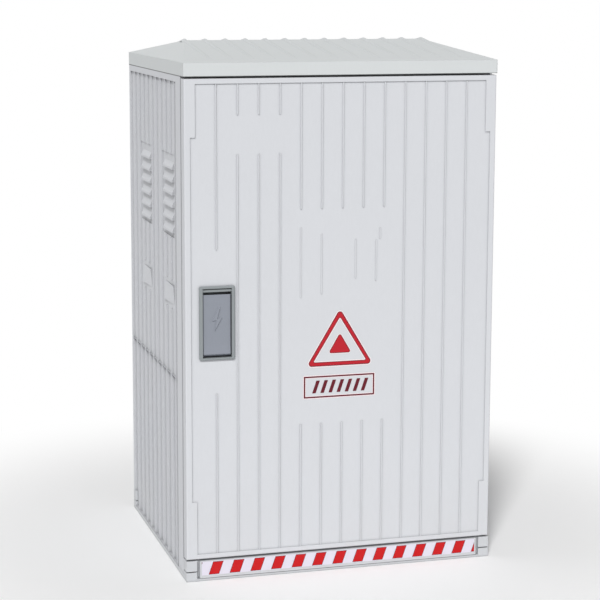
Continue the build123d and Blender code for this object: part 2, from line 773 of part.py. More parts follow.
with BuildPart() as door_panel:
    with BuildSketch(Plane.XZ.offset(half_d)):
        with Locations((0, door_mid)):
            Rectangle(2 * door_half, door_top - door_bottom)
    extrude(amount=-door_skin)
    fillet(door_panel.faces().sort_by(Axis.Y)[0].edges(), corner_round)
    with BuildSketch(Plane.XZ.offset(half_d)):
        with Locations((0, (field_bottom_z + field_top_z) / 2)):
            Rectangle(2 * door_field_half, field_top_z - field_bottom_z)
        with Locations((0, (door_step_bottom + door_step_top) / 2)):
            Rectangle(2 * door_field_wide_half, door_step_top - door_step_bottom)
    extrude(amount=-door_relief, mode=Mode.SUBTRACT)
    with BuildSketch(Plane.XZ.offset(half_d - door_relief)):
        for x, low, high in rib_runs:
            with Locations((x, (low + high) / 2)):
                Rectangle(door_rib_width, high - low)
    extrude(amount=door_relief, taper=rib_draft)
    with BuildSketch(Plane.XZ.offset(half_d - door_relief)):
        for x, low, high in short_ribs:
            with Locations((x, (low + high) / 2)):
                Rectangle(door_rib_width, high - low)
    extrude(amount=short_rib_relief, taper=rib_draft)
    with BuildSketch(Plane.XZ.offset(half_d)):
        with Locations((handle_x, handle_z)):
            Rectangle(2 * (cup_half_w + seat_gap), 2 * (cup_half_h + seat_gap))
    extrude(amount=-door_skin, mode=Mode.SUBTRACT)
save(door_panel, "door_panel")

# Door frame bonded behind the skin: channel bars open to the rear, whose inner leg carries the
# seal, joined by corner blocks; the right blocks hold the hinge pins
frame_depth = door_rear_y - door_skin_y
frame_width = door_half - seal_half + seal_rib / 2
channel_width = frame_width - door_wall - seal_rib
with BuildPart() as door_stiles:
    with BuildSketch(Plane.XY.offset(door_bottom + hinge_block_height)):
        with Locations((door_half, door_skin_y)):
            Rectangle(frame_width, frame_depth, align=(Align.MAX, Align.MIN))
        with Locations((door_half - door_wall, door_skin_y + seal_rib)):
            Rectangle(channel_width, frame_depth, align=(Align.MAX, Align.MIN), mode=Mode.SUBTRACT)
    extrude(amount=door_top - door_bottom - 2 * hinge_block_height)
    mirror(about=Plane.YZ)
save(door_stiles, "door_stiles")

with BuildPart() as door_rails:
    with BuildSketch(Plane.YZ):
        with Locations((door_skin_y, door_top)):
            Rectangle(frame_depth, frame_width, align=(Align.MIN, Align.MAX))
        with Locations((door_skin_y + seal_rib, door_top - door_wall)):
            Rectangle(frame_depth, channel_width, align=(Align.MIN, Align.MAX), mode=Mode.SUBTRACT)
    extrude(amount=door_half - hinge_block_width, both=True)
    mirror(about=Plane.XY.offset(door_mid))
save(door_rails, "door_rails")

with BuildPart() as door_corner_blocks:
    with BuildSketch(Plane.XZ.offset(-door_skin_y)):
        with Locations((0, door_mid)):
            with GridLocations(
                2 * door_half - hinge_block_width, door_top - door_bottom - hinge_block_height, 2, 2
            ):
                Rectangle(hinge_block_width, hinge_block_height)
    extrude(amount=-frame_depth)
    with BuildSketch(Plane.XY.offset(door_bottom)):
        with Locations((hinge_x, hinge_y)):
            Circle(hinge_pin_r + running_gap)
    extrude(amount=pin_seat, mode=Mode.SUBTRACT)
    with BuildSketch(Plane.XY.offset(door_top)):
        with Locations((hinge_x, hinge_y)):
            Circle(hinge_pin_r + running_gap)
    extrude(amount=-pin_seat, mode=Mode.SUBTRACT)
save(door_corner_blocks, "door_corner_blocks")

# Stiffeners across the inner face of the door
with BuildPart() as door_stiffeners:
    with BuildSketch(Plane.XZ.offset(-door_skin_y)):
        with Locations(*[(0, z) for z in stiffener_levels]):
            Rectangle(2 * (door_half - frame_width), seal_rib)
    extrude(amount=-stiffener_height)
save(door_stiffeners, "door_stiffeners")

# Door seal, glued on the inner legs of the door frame
with BuildPart() as door_gasket:
    with BuildSketch(Plane.XZ.offset(half_d - door_depth)):
        with Locations((0, (seal_bottom + seal_top) / 2)):
            Rectangle(2 * seal_half + gasket_width, seal_top - seal_bottom + gasket_width)
            Rectangle(2 * seal_half - gasket_width, seal_top - seal_bottom - gasket_width, mode=Mode.SUBTRACT)
    extrude(amount=-(door_seam - gasket_clearance))
save(door_gasket, "door_gasket")

# Handle housing: bezel with a cup behind it, ledge over the finger gap, standoffs for the lock plate
bezel_back_y = front_y + door_relief
bezel_front_y = front_y - bezel_proud
cup_floor_y = front_y + cup_depth
cup_back_y = cup_floor_y + cup_wall
gear_front_y = gear_layer - gear_thickness / 2
gear_back_y = gear_layer + gear_thickness / 2
lock_plate_y = gear_back_y + lock_plate_gap
ledge_top = handle_z + cup_height / 2 - cup_ledge_drop
flap_top = ledge_top - cup_ledge - finger_gap
flap_axis_z = handle_z - cup_height / 2 + flap_pin_up
flap_axis_y = front_y + flap_pin_in
flap_half = cup_width / 2 - flap_gap
flap_front_y = bezel_front_y + flap_inset
cup_place = (handle_x, handle_z)
spindle_place = (handle_x, spindle_z)
standoff_places = [
    (handle_x + side * standoff_x, spindle_z + level * standoff_z) for side in (-1, 1) for level in (-1, 1)
]

with BuildPart() as handle_housing:
    with BuildSketch(Plane.XZ.offset(-bezel_back_y)):
        with Locations(cup_place):
            RectangleRounded(bezel_width, bezel_height, bezel_round)
    extrude(amount=bezel_back_y - bezel_front_y)
    chamfer(handle_housing.faces().sort_by(Axis.Y)[0].edges(), bezel_bevel)
    with BuildSketch(Plane.XZ.offset(-bezel_back_y)):
        with Locations(cup_place):
            Rectangle(2 * cup_half_w, 2 * cup_half_h)
    extrude(amount=bezel_back_y - cup_back_y)
    with BuildSketch(Plane.XZ.offset(-bezel_front_y)):
        with Locations(cup_place):
            Rectangle(cup_width, cup_height)
    extrude(amount=bezel_front_y - cup_floor_y, mode=Mode.SUBTRACT)
    with BuildSketch(Plane.XZ.offset(-front_y)):
        with Locations((handle_x, ledge_top)):
            Rectangle(cup_width, cup_ledge, align=(Align.CENTER, Align.MAX))
    extrude(amount=-cup_ledge_wall)
    with BuildSketch(Plane.XZ.offset(-cup_back_y)):
        with Locations(*standoff_places):
            Circle(standoff_r)
    extrude(amount=cup_back_y - lock_plate_y)
    with BuildSketch(Plane.XZ.offset(-lock_plate_y)):
        with Locations(*standoff_places):
            Circle(screw_r + screw_gap)
    extrude(amount=lock_plate_y - cup_back_y, mode=Mode.SUBTRACT)
    with BuildSketch(Plane.XZ.offset(-cup_floor_y)):
        with Locations(spindle_place):
            Circle(spindle_r + running_gap)
    extrude(amount=cup_floor_y - cup_back_y, mode=Mode.SUBTRACT)
    with BuildSketch(Plane.YZ.offset(handle_x)):
        with Locations((flap_axis_y, flap_axis_z)):
            Circle(flap_pin_r + running_gap)
    extrude(amount=cup_half_w, both=True, mode=Mode.SUBTRACT)
save(handle_housing, "handle_housing")

# Flap pin, held in the cheeks of the cup
with BuildPart() as flap_pin:
    with BuildSketch(Plane.YZ.offset(handle_x)):
        with Locations((flap_axis_y, flap_axis_z)):
            Circle(flap_pin_r)
    extrude(amount=cup_half_w - seat_gap, both=True)
save(flap_pin, "flap_pin")

# Handle flap: hollow plate with a crease near its lower end, barrel round the pin, raised zigzag
crease_z = handle_z - cup_height / 2 + flap_crease
barrel_bottom = flap_axis_z - flap_barrel_r
with BuildPart() as handle_flap:
    with BuildSketch(Plane.YZ.offset(handle_x)):
        Polygon(
            (flap_front_y, flap_top),
            (flap_front_y, crease_z),
            (flap_front_y + flap_slope, barrel_bottom + flap_slope),
            (flap_axis_y, barrel_bottom + flap_slope),
            (flap_front_y + flap_return, crease_z),
            (flap_front_y + flap_return, flap_top),
            align=None,
        )
    extrude(amount=flap_half, both=True)
    with BuildSketch(Plane.XZ.offset(-(flap_front_y + flap_skin))):
        with Locations((handle_x, (crease_z + flap_top - flap_skin) / 2)):
            Rectangle(2 * (flap_half - flap_skin), flap_top - flap_skin - crease_z)
    extrude(amount=-flap_return, mode=Mode.SUBTRACT)
    with BuildSketch(Plane.YZ.offset(handle_x)):
        with Locations((flap_axis_y, flap_axis_z)):
            Circle(flap_barrel_r)
    extrude(amount=flap_half, both=True)
    with BuildSketch(Plane.YZ.offset(handle_x)):
        with Locations((flap_axis_y, flap_axis_z)):
            Circle(flap_pin_r + running_gap)
    extrude(amount=flap_half, both=True, mode=Mode.SUBTRACT)
    with BuildSketch(Plane.XZ.offset(-flap_front_y)):
        with Locations((handle_x, (flap_top + crease_z) / 2)):
            Polygon(
                (zigzag_half_width / 3, zigzag_half_height),
                (-zigzag_half_width, -zigzag_half_height / 8),
                (-zigzag_half_width / 6, -zigzag_half_height / 16),
                (-zigzag_half_width / 2, -zigzag_half_height),
                (zigzag_half_width, zigzag_half_height / 6),
                (zigzag_half_width / 8, zigzag_half_height / 10),
                (zigzag_half_width * 2 / 3, zigzag_half_height),
                align=None,
            )
    extrude(amount=zigzag_relief)
save(handle_flap, "handle_flap")

# Lock spindle: three-sided key head in the cup, collar, gear seat and threaded end
collar_y = cup_floor_y - seat_gap - spindle_collar
with BuildPart() as lock_spindle:
    with BuildSketch(Plane.XZ.offset(-collar_y)):
        with Locations(spindle_place):
            RegularPolygon(key_size, 3)
    extrude(amount=key_length)
    with BuildSketch(Plane.XZ.offset(-collar_y)):
        with Locations(spindle_place):
            Circle(spindle_collar_r)
    extrude(amount=-spindle_collar)
    with BuildSketch(Plane.XZ.offset(-collar_y)):
        with Locations(spindle_place):
            Circle(spindle_r)
    extrude(amount=collar_y - gear_front_y + seat_gap)
    with BuildSketch(Plane.XZ.offset(-collar_y)):
        with Locations(spindle_place):
            Circle(spindle_seat_r)
    extrude(amount=collar_y - gear_back_y - seat_gap)
    with BuildSketch(Plane.XZ.offset(-collar_y)):
        with Locations(spindle_place):
            Circle(spindle_end_r)
    extrude(amount=collar_y - lock_plate_y - lock_plate_wall - tongue_wall - nut_height - 2 * lock_plate_gap)
save(lock_spindle, "lock_spindle")

# Lock gear: involute flanks down to the base circle, straight below it
gear_base_r = gear_pitch_r * cos(radians(pressure_angle))
gear_tip_r = gear_pitch_r + gear_top
gear_root_r = gear_pitch_r - gear_root
tooth_half = (gear_pitch / 2 - tooth_backlash) / 2


def involute(angle):
    """Involute function of a pressure angle in radians."""
    return tan(angle) - angle


def flank_point(radius, tooth_angle, hand):
    """Point on one flank of the tooth at this angle, hand -1 or 1."""
    roll = acos(min(1.0, gear_base_r / radius))
    spread = tooth_half / gear_pitch_r + involute(radians(pressure_angle)) - involute(roll)
    angle = tooth_angle + hand * spread
    return (handle_x + radius * cos(angle), spindle_z + radius * sin(angle))


with BuildPart() as lock_gear:
    with BuildSketch(Plane.XZ.offset(-gear_front_y)):
        with BuildLine():
            for tooth in range(gear_teeth):
                middle = 2 * pi * tooth / gear_teeth
                next_middle = middle + 2 * pi / gear_teeth
                ThreePointArc(*[flank_point(r, middle, -1) for r in (gear_base_r, gear_pitch_r, gear_tip_r)])
                Line(flank_point(gear_tip_r, middle, -1), flank_point(gear_tip_r, middle, 1))
                ThreePointArc(*[flank_point(r, middle, 1) for r in (gear_tip_r, gear_pitch_r, gear_base_r)])
                Polyline(
                    flank_point(gear_base_r, middle, 1),
                    flank_point(gear_root_r, middle, 1),
                    flank_point(gear_root_r, next_middle, -1),
                    flank_point(gear_base_r, next_middle, -1),
                )
        make_face()
        with Locations(spindle_place):
            Circle(spindle_seat_r + running_gap, mode=Mode.SUBTRACT)
    extrude(amount=-gear_thickness)
save(lock_gear, "lock_gear")

# Lock plate over the gear, on the four standoffs
with BuildPart() as lock_plate:
    with BuildSketch(Plane.XZ.offset(-lock_plate_y)):
        with Locations(spindle_place):
            Rectangle(2 * lock_plate_half_w, 2 * lock_plate_half_h)
            Circle(spindle_end_r + running_gap, mode=Mode.SUBTRACT)
        with Locations(*standoff_places):
            Circle(screw_r + screw_gap, mode=Mode.SUBTRACT)
    extrude(amount=-lock_plate_wall)
save(lock_plate, "lock_plate")

# Centre tongue and its nut on the end of the spindle; unlocked, the tongue hangs down
tongue_y = lock_plate_y + lock_plate_wall + lock_plate_gap
with BuildPart() as centre_tongue:
    with BuildSketch(Plane.XZ.offset(-tongue_y)):
        with Locations((handle_x, spindle_z - tongue_length / 2)):
            SlotOverall(tongue_length + tongue_width, tongue_width, rotation=90)
        with Locations(spindle_place):
            Circle(spindle_end_r + running_gap, mode=Mode.SUBTRACT)
    extrude(amount=-tongue_wall)
save(centre_tongue, "centre_tongue")

with BuildPart() as tongue_nut:
    with BuildSketch(Plane.XZ.offset(-(tongue_y + tongue_wall))):
        with Locations(spindle_place):
            RegularPolygon(spindle_collar_r, 6)
            Circle(spindle_end_r + running_gap, mode=Mode.SUBTRACT)
    extrude(amount=-nut_height)
save(tongue_nut, "tongue_nut")

# Lock rods: rack beside the gear, and a flat bar inside the door, cranked round the cup and welded
# to the rack
keeper_levels = (door_top - keeper_inset, door_bottom + keeper_inset)
rod_centres = []
rod_front_y = gear_layer - rod_wall / 2
tooth_slope = tan(radians(pressure_angle))
for end, way, keeper_z in zip(("upper", "lower"), (1, -1), keeper_levels):
    pitch_x = handle_x - way * gear_pitch_r
    root_x = pitch_x - way * tooth_root
    back_x = root_x - way * rod_back
    centre_x = back_x + way * rod_width / 2
    rod_centres.append(centre_x)
    rack_z = [spindle_z + way * gear_pitch * (rack_lead - 0.5 - k) for k in range(rack_lead + rack_tail)]
    strip_start = rack_z[-1] - way * gear_pitch / 2
    wide_start = spindle_z + way * rod_widening
    joggle_start = handle_z + way * (cup_half_h + rod_joggle_clear)
    joggle_end = joggle_start + way * rod_joggle
    rod_end = keeper_z - way * rod_end_gap
    with BuildPart() as lock_rack:
        with BuildSketch(Plane.XZ.offset(-rod_front_y)):
            with Locations(((root_x + back_x) / 2, (strip_start + joggle_start) / 2)):
                Rectangle(rod_back, abs(joggle_start - strip_start))
            with Locations((centre_x, (wide_start + joggle_start) / 2)):
                Rectangle(rod_width, abs(joggle_start - wide_start))
            for z in rack_z:
                Polygon(
                    (root_x, z - tooth_half - tooth_root * tooth_slope),
                    (pitch_x + way * tooth_top, z - tooth_half + tooth_top * tooth_slope),
                    (pitch_x + way * tooth_top, z + tooth_half - tooth_top * tooth_slope),
                    (root_x, z + tooth_half + tooth_root * tooth_slope),
                    align=None,
                )
        extrude(amount=-rod_wall)
    save(lock_rack, end + "_rack")
    with BuildPart() as lock_rod:
        with BuildSketch(Plane.YZ.offset(centre_x)):
            Polygon(
                (gear_layer - rod_wall / 2, joggle_start),
                (rod_plane_y - rod_wall / 2, joggle_end),
                (rod_plane_y - rod_wall / 2, rod_end),
                (rod_plane_y + rod_wall / 2, rod_end),
                (rod_plane_y + rod_wall / 2, joggle_end),
                (gear_layer + rod_wall / 2, joggle_start),
                align=None,
            )
        extrude(amount=rod_width / 2, both=True)
    save(lock_rod, end + "_lock_rod")

# Rod guides on the inner face of the door, and keepers on the header bar and the threshold
with BuildPart() as rod_guides:
    with BuildSketch(Plane.XZ.offset(-door_skin_y)):
        for centre_x, levels in zip(rod_centres, guide_levels):
            with Locations(*[(centre_x, z) for z in levels]):
                Rectangle(guide_width, guide_height)
    extrude(amount=door_skin_y - door_rear_y)
    with BuildSketch(Plane.XZ.offset(-(rod_plane_y - rod_wall / 2 - guide_gap))):
        for centre_x, levels in zip(rod_centres, guide_levels):
            with Locations(*[(centre_x, z) for z in levels]):
                Rectangle(rod_width + 2 * guide_gap, 2 * guide_height)
    extrude(amount=-(rod_wall + 2 * guide_gap), mode=Mode.SUBTRACT)
save(rod_guides, "rod_guides")

with BuildPart() as rod_keepers:
    for centre_x, way, keeper_z in zip(rod_centres, (1, -1), keeper_levels):
        with BuildSketch(Plane.XY.offset(keeper_z)):
            with Locations((centre_x, panel_front_y)):
                Rectangle(keeper_width, keeper_shelf, align=(Align.CENTER, Align.MAX))
            with Locations((centre_x, rod_plane_y)):
                Rectangle(
                    rod_width + 2 * keeper_slot_gap, rod_wall + 2 * keeper_slot_gap, mode=Mode.SUBTRACT
                )
        extrude(amount=way * keeper_wall)
        with BuildSketch(Plane.XY.offset(keeper_z)):
            with Locations((centre_x, panel_front_y)):
                Rectangle(keeper_width, keeper_leg, align=(Align.CENTER, Align.MAX))
        extrude(amount=-way * keeper_leg * 4)
save(rod_keepers, "rod_keepers")

# Mounting rails and cable clamp rail: channels between the side panels, open at the back
for name, rail_places in (
    ("mounting_rails", [(rail_y, z) for z in rail_levels]),
    ("clamp_rail", [(clamp_rail_y, clamp_rail_z)]),
):
    with BuildPart() as channel:
        with BuildSketch(Plane.YZ):
            with Locations(*rail_places):
                Rectangle(rail_depth, rail_height, align=(Align.MIN, Align.CENTER))
            with Locations(*[(y + rail_wall, z) for y, z in rail_places]):
                Rectangle(
                    rail_depth,
                    rail_height - 2 * rail_wall,
                    align=(Align.MIN, Align.CENTER),
                    mode=Mode.SUBTRACT,
                )
        extrude(amount=panel_inner_x, both=True)
    save(channel, name)

# Busbar carriers on the rails, notched for the three busbars
busbar_spacing = (fuse_rail_top - fuse_rail_bottom + terminal_height) / 3
busbar_levels = [busbar_lowest + k * busbar_spacing for k in range(3)]
busbar_back_y = rail_y - carrier_depth + carrier_notch
busbar_front_y = busbar_back_y - busbar_wall
carrier_low = rail_levels[0] - carrier_overhang
carrier_high = rail_levels[1] + carrier_overhang
with BuildPart() as busbar_carriers:
    with BuildSketch(Plane.XZ.offset(-rail_y)):
        with Locations((0, (carrier_low + carrier_high) / 2)):
            with GridLocations(2 * carrier_x, 0, 2, 1):
                Rectangle(carrier_width, carrier_high - carrier_low)
    extrude(amount=carrier_depth)
    with BuildSketch(Plane.XZ.offset(-busbar_back_y)):
        with Locations(*[(0, z) for z in busbar_levels]):
            Rectangle(busbar_length + 2 * seat_gap, busbar_height + 2 * seat_gap)
    extrude(amount=carrier_depth, mode=Mode.SUBTRACT)
save(busbar_carriers, "busbar_carriers")

with BuildPart() as busbars:
    with BuildSketch(Plane.XZ.offset(-busbar_back_y)):
        with Locations(*[(0, z) for z in busbar_levels]):
            Rectangle(busbar_length, busbar_height)
    extrude(amount=busbar_wall)
save(busbars, "busbars")

# Fuse rails: one block per outgoing cable, with three fuse pockets and three terminals below
pocket_levels = [z + fuse_pocket_up for z in busbar_levels]
fuse_front_y = busbar_front_y - fuse_rail_depth
pocket_floor_y = fuse_front_y + fuse_pocket_depth
fuse_columns = [(k - (fuse_rail_count - 1) / 2) * fuse_rail_pitch for k in range(fuse_rail_count)]
fuse_link_width = fuse_pocket_width - 2 * fuse_pocket_gap
fuse_link_height = fuse_pocket_height - 2 * fuse_pocket_gap
with BuildPart() as fuse_rail:
    with BuildSketch(Plane.XZ.offset(-busbar_front_y)):
        with Locations((0, (fuse_rail_bottom + fuse_rail_top) / 2)):
            Rectangle(fuse_rail_width, fuse_rail_top - fuse_rail_bottom)
    extrude(amount=fuse_rail_depth)
    chamfer(fuse_rail.faces().sort_by(Axis.Y)[0].edges(), fuse_pocket_gap)
    with BuildSketch(Plane.XZ.offset(-pocket_floor_y)):
        with Locations(*[(0, z) for z in pocket_levels]):
            Rectangle(fuse_pocket_width, fuse_pocket_height)
    extrude(amount=fuse_pocket_depth, mode=Mode.SUBTRACT)

with BuildPart() as fuse_links:
    with BuildSketch(Plane.XZ.offset(-pocket_floor_y)):
        with Locations(*[(0, z) for z in pocket_levels]):
            Rectangle(fuse_link_width, fuse_link_height)
    extrude(amount=fuse_link_depth)
    with BuildSketch(Plane.XZ.offset(-(pocket_floor_y - fuse_link_depth))):
        with Locations((0, pocket_levels[1])):
            with GridLocations(0, fuse_link_height - fuse_lug_out, 1, 2):
                with Locations(*[(0, z - pocket_levels[1]) for z in pocket_levels]):
                    Rectangle(fuse_lug_width, fuse_lug_out)
    extrude(amount=fuse_lug_out)

with BuildPart() as cable_terminals:
    with BuildSketch(Plane.XZ.offset(-busbar_front_y)):
        with Locations((0, fuse_rail_bottom - terminal_height / 2)):
            with GridLocations(terminal_pitch, 0, 3, 1):
                Rectangle(terminal_width, terminal_height)
    extrude(amount=terminal_depth)
    with BuildSketch(Plane.XY.offset(fuse_rail_bottom - terminal_height)):
        with Locations((0, busbar_front_y - terminal_depth / 2)):
            with GridLocations(terminal_pitch, 0, 3, 1):
                Circle(terminal_bore_r)
    extrude(amount=terminal_height - fuse_pocket_gap, mode=Mode.SUBTRACT)

for name, piece in (
    ("fuse_rails", fuse_rail),
    ("fuse_links", fuse_links),
    ("cable_terminals", cable_terminals),
):
    with BuildPart() as row:
        for x in fuse_columns:
            add(Pos(x, 0, 0) * piece.part)
    save(row, name)

# Neutral bar with a row of lug holes, on brackets from the side panels
neutral_front_y = busbar_front_y
neutral_back_y = neutral_front_y + neutral_wall
with BuildPart() as neutral_bar:
    with BuildSketch(Plane.XZ.offset(-neutral_back_y)):
        with Locations((0, neutral_z)):
            Rectangle(neutral_length, neutral_height)
            with GridLocations(neutral_length / (neutral_hole_count + 2), 0, neutral_hole_count, 1):
                Circle(neutral_hole_r, mode=Mode.SUBTRACT)
    extrude(amount=neutral_wall)
save(neutral_bar, "neutral_bar")

with BuildPart() as neutral_brackets:
    with BuildSketch(Plane.XY.offset(neutral_z - neutral_height / 2)):
        for side, align_x in ((-1, Align.MIN), (1, Align.MAX)):
            with Locations((side * panel_inner_x, neutral_back_y)):
                Rectangle(panel_inner_x - carrier_x, flange_wall, align=(align_x, Align.MIN))
                Rectangle(flange_wall, bracket_tab, align=(align_x, Align.MIN))
    extrude(amount=neutral_height)
save(neutral_brackets, "neutral_brackets")

# Cable saddles on the clamp rail, one below each fuse rail
with BuildPart() as cable_saddles:
    with BuildSketch(Plane.XY.offset(clamp_rail_z - saddle_height / 2)):
        with Locations(*[(x, clamp_rail_y) for x in fuse_columns]):
            Rectangle(saddle_width, saddle_depth, align=(Align.CENTER, Align.MAX))
        with Locations(*[(x, clamp_rail_y - saddle_depth + saddle_trough - saddle_r) for x in fuse_columns]):
            Circle(saddle_r, mode=Mode.SUBTRACT)
    extrude(amount=saddle_height)
save(cable_saddles, "cable_saddles")

# Screws: kind, length of shank, turn of the head, places of the bearing face
level_turn = Rot(0, 0, 0)
back_turn = Rot(-90, 0, 0)
down_turn = Rot(180, 0, 0)
plate_rear_y = lock_plate_y + lock_plate_wall
screw_sets = (
    ("tie_bolts", sill_top - base_flange, level_turn,
     [(side * tie_x, way * tie_spacing_y / 2, sill_top) for side in (-1, 1) for way in (-1, 1)]),
    ("foot_screws", sill_flange + flange_wall, level_turn,
     [(x, y, sill_top + flange_wall) for x, y in foot_screw_places + threshold_screw_places]),
    ("kick_screws", kick_screw_length, back_turn,
     [(side * kick_half / 2, -ring_inner_y, kick_mid) for side in (-1, 1)]),
    ("back_bolts", panel_depth + flange_wall, back_turn,
     [(side * back_bolt_x, half_d, z) for side in (-1, 1) for z in back_bolt_levels]),
    ("header_screws", 2 * flange_wall, back_turn,
     [(side * flange_mid_x, panel_front_y + 2 * flange_wall, z)
      for side in (-1, 1) for z in header_screw_levels]),
    ("roof_screws", flange_wall + roof_fascia / 2 - 2 * seat_gap, down_turn,
     [(x, y, body_top - flange_wall) for x, y in roof_screw_places]),
    ("bracket_screws", bracket_wall + flange_wall, level_turn,
     [(x, y, body_top + bracket_wall) for x, y in bracket_screw_places]),
    ("lock_plate_screws", plate_rear_y - cup_back_y - seat_gap, back_turn,
     [(x, plate_rear_y, z) for x, z in standoff_places]),
)
for name, shank_length, turn, places in screw_sets:
    one_screw = screw(shank_length)
    with BuildPart() as fasteners:
        for place in places:
            add(Pos(*place) * turn * one_screw)
    save(fasteners, name)
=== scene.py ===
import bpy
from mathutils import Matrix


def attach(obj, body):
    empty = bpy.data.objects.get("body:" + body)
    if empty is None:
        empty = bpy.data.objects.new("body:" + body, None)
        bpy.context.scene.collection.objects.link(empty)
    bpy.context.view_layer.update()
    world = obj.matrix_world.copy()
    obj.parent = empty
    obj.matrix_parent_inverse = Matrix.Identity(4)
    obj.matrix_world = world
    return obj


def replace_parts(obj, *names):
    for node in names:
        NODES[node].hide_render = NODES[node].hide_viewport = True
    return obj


bl_info = {
    "name": "Distribution cabinet",
    "version": (1, 0, 0),
    "blender": (4, 5, 0),
    "location": "View3D > Sidebar > Cabinet",
    "description": "Finishes, markings and inner fittings of a moulded street cabinet, with its stage",
    "category": "Object",
}

import bmesh
import bpy
import numpy as np
from bpy.props import FloatProperty, FloatVectorProperty, IntProperty, PointerProperty
from mathutils import Matrix

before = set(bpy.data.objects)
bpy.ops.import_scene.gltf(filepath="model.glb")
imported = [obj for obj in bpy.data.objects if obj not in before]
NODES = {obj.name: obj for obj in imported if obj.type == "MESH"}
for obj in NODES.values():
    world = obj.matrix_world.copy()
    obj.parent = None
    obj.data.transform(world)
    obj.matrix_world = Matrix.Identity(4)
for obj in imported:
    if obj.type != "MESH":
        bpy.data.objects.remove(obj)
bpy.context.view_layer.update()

MM = 0.001
WALL_TOP = 1092.0
WHITE = (1.0, 1.0, 1.0, 1.0)
MERGE_REACH = 1e-7
LEAST_ROUND = 0.3


# Finishes: shader node groups

FIBRE_SCALE = (60.0, 60.0, 14.0)
STREAK_SCALE = (70.0, 70.0, 2.4)
ROLLING_SCALE = (1500.0, 1500.0, 30.0)
DUST_TOP = 0.32
RUN_MARK_SHARE = 0.35
CLOUD_TONE = 0.04
CLOUD_ROUGHNESS = 0.12
DUST_ROUGHNESS = 0.35
PEEL_SHARE = 0.5
PLATING_ROUGHNESS = 0.2
INK_ROUGHNESS = 0.28
FADE_ROUGHNESS = 0.2
# Painted shade line under the roof's fascia: its dark core, its reach and its darkest tone.
SHADE_LINE_CORE = 0.0006
SHADE_LINE_REACH = 0.0013
SHADE_LINE_TONE = 0.28
FILM_BUMP = 0.00005


def group_sockets(group, inputs, outputs):
    """Gives a node group its named sockets; an input is (name, kind, default)."""
    for name, kind, default in inputs:
        socket = group.interface.new_socket(name=name, in_out="INPUT", socket_type=kind)
        socket.default_value = default
    for name, kind in outputs:
        group.interface.new_socket(name=name, in_out="OUTPUT", socket_type=kind)


def new_group(name, inputs, outputs):
    """An empty shader node group with its input and output nodes."""
    group = bpy.data.node_groups.new(name, "ShaderNodeTree")
    group_sockets(group, inputs, outputs)
    start = group.nodes.new("NodeGroupInput")
    end = group.nodes.new("NodeGroupOutput")
    return group, start, end


def add_node(tree, kind, **settings):
    """A node of this kind, with plain settings by attribute name."""
    node = tree.nodes.new(kind)
    for name, value in settings.items():
        setattr(node, name, value)
    return node


def math_node(tree, operation, first, second=None, clamp=False):
    """A Math node fed by sockets or numbers; gives back its output socket."""
    node = add_node(tree, "ShaderNodeMath", operation=operation, use_clamp=clamp)
    for socket, value in zip(node.inputs, (first, second)):
        if value is None:
            continue
        if isinstance(value, (int, float)):
            socket.default_value = value
        else:
            tree.links.new(value, socket)
    return node.outputs[0]


def ramp_node(tree, value, low, high):
    """Map Range from low..high to 0..1, smooth."""
    node = add_node(tree, "ShaderNodeMapRange", interpolation_type="SMOOTHSTEP")
    tree.links.new(value, node.inputs["Value"])
    node.inputs["From Min"].default_value = low
    node.inputs["From Max"].default_value = high
    return node.outputs["Result"]


def noise_node(tree, vector, scale, detail=3.0, roughness=0.5):
    """Noise texture on a vector socket; gives back its value socket."""
    node = add_node(tree, "ShaderNodeTexNoise")
    node.inputs["Scale"].default_value = scale
    node.inputs["Detail"].default_value = detail
    node.inputs["Roughness"].default_value = roughness
    tree.links.new(vector, node.inputs["Vector"])
    return node.outputs["Fac"]


def stretched(tree, vector, scale):
    """Vector times three factors, to draw a pattern out along one axis."""
    node = add_node(tree, "ShaderNodeVectorMath", operation="MULTIPLY")
    tree.links.new(vector, node.inputs[0])
    node.inputs[1].default_value = scale
    return node.outputs[0]


def mixed_colour(tree, share, first, second):
    """Mix of two colour sockets by a share; gives back its colour socket."""
    mix = add_node(tree, "ShaderNodeMix", data_type="RGBA")
    first_colour, second_colour, result = mix.inputs[6], mix.inputs[7], mix.outputs[2]
    tree.links.new(share, mix.inputs["Factor"])
    tree.links.new(first, first_colour)
    tree.links.new(second, second_colour)
    return result


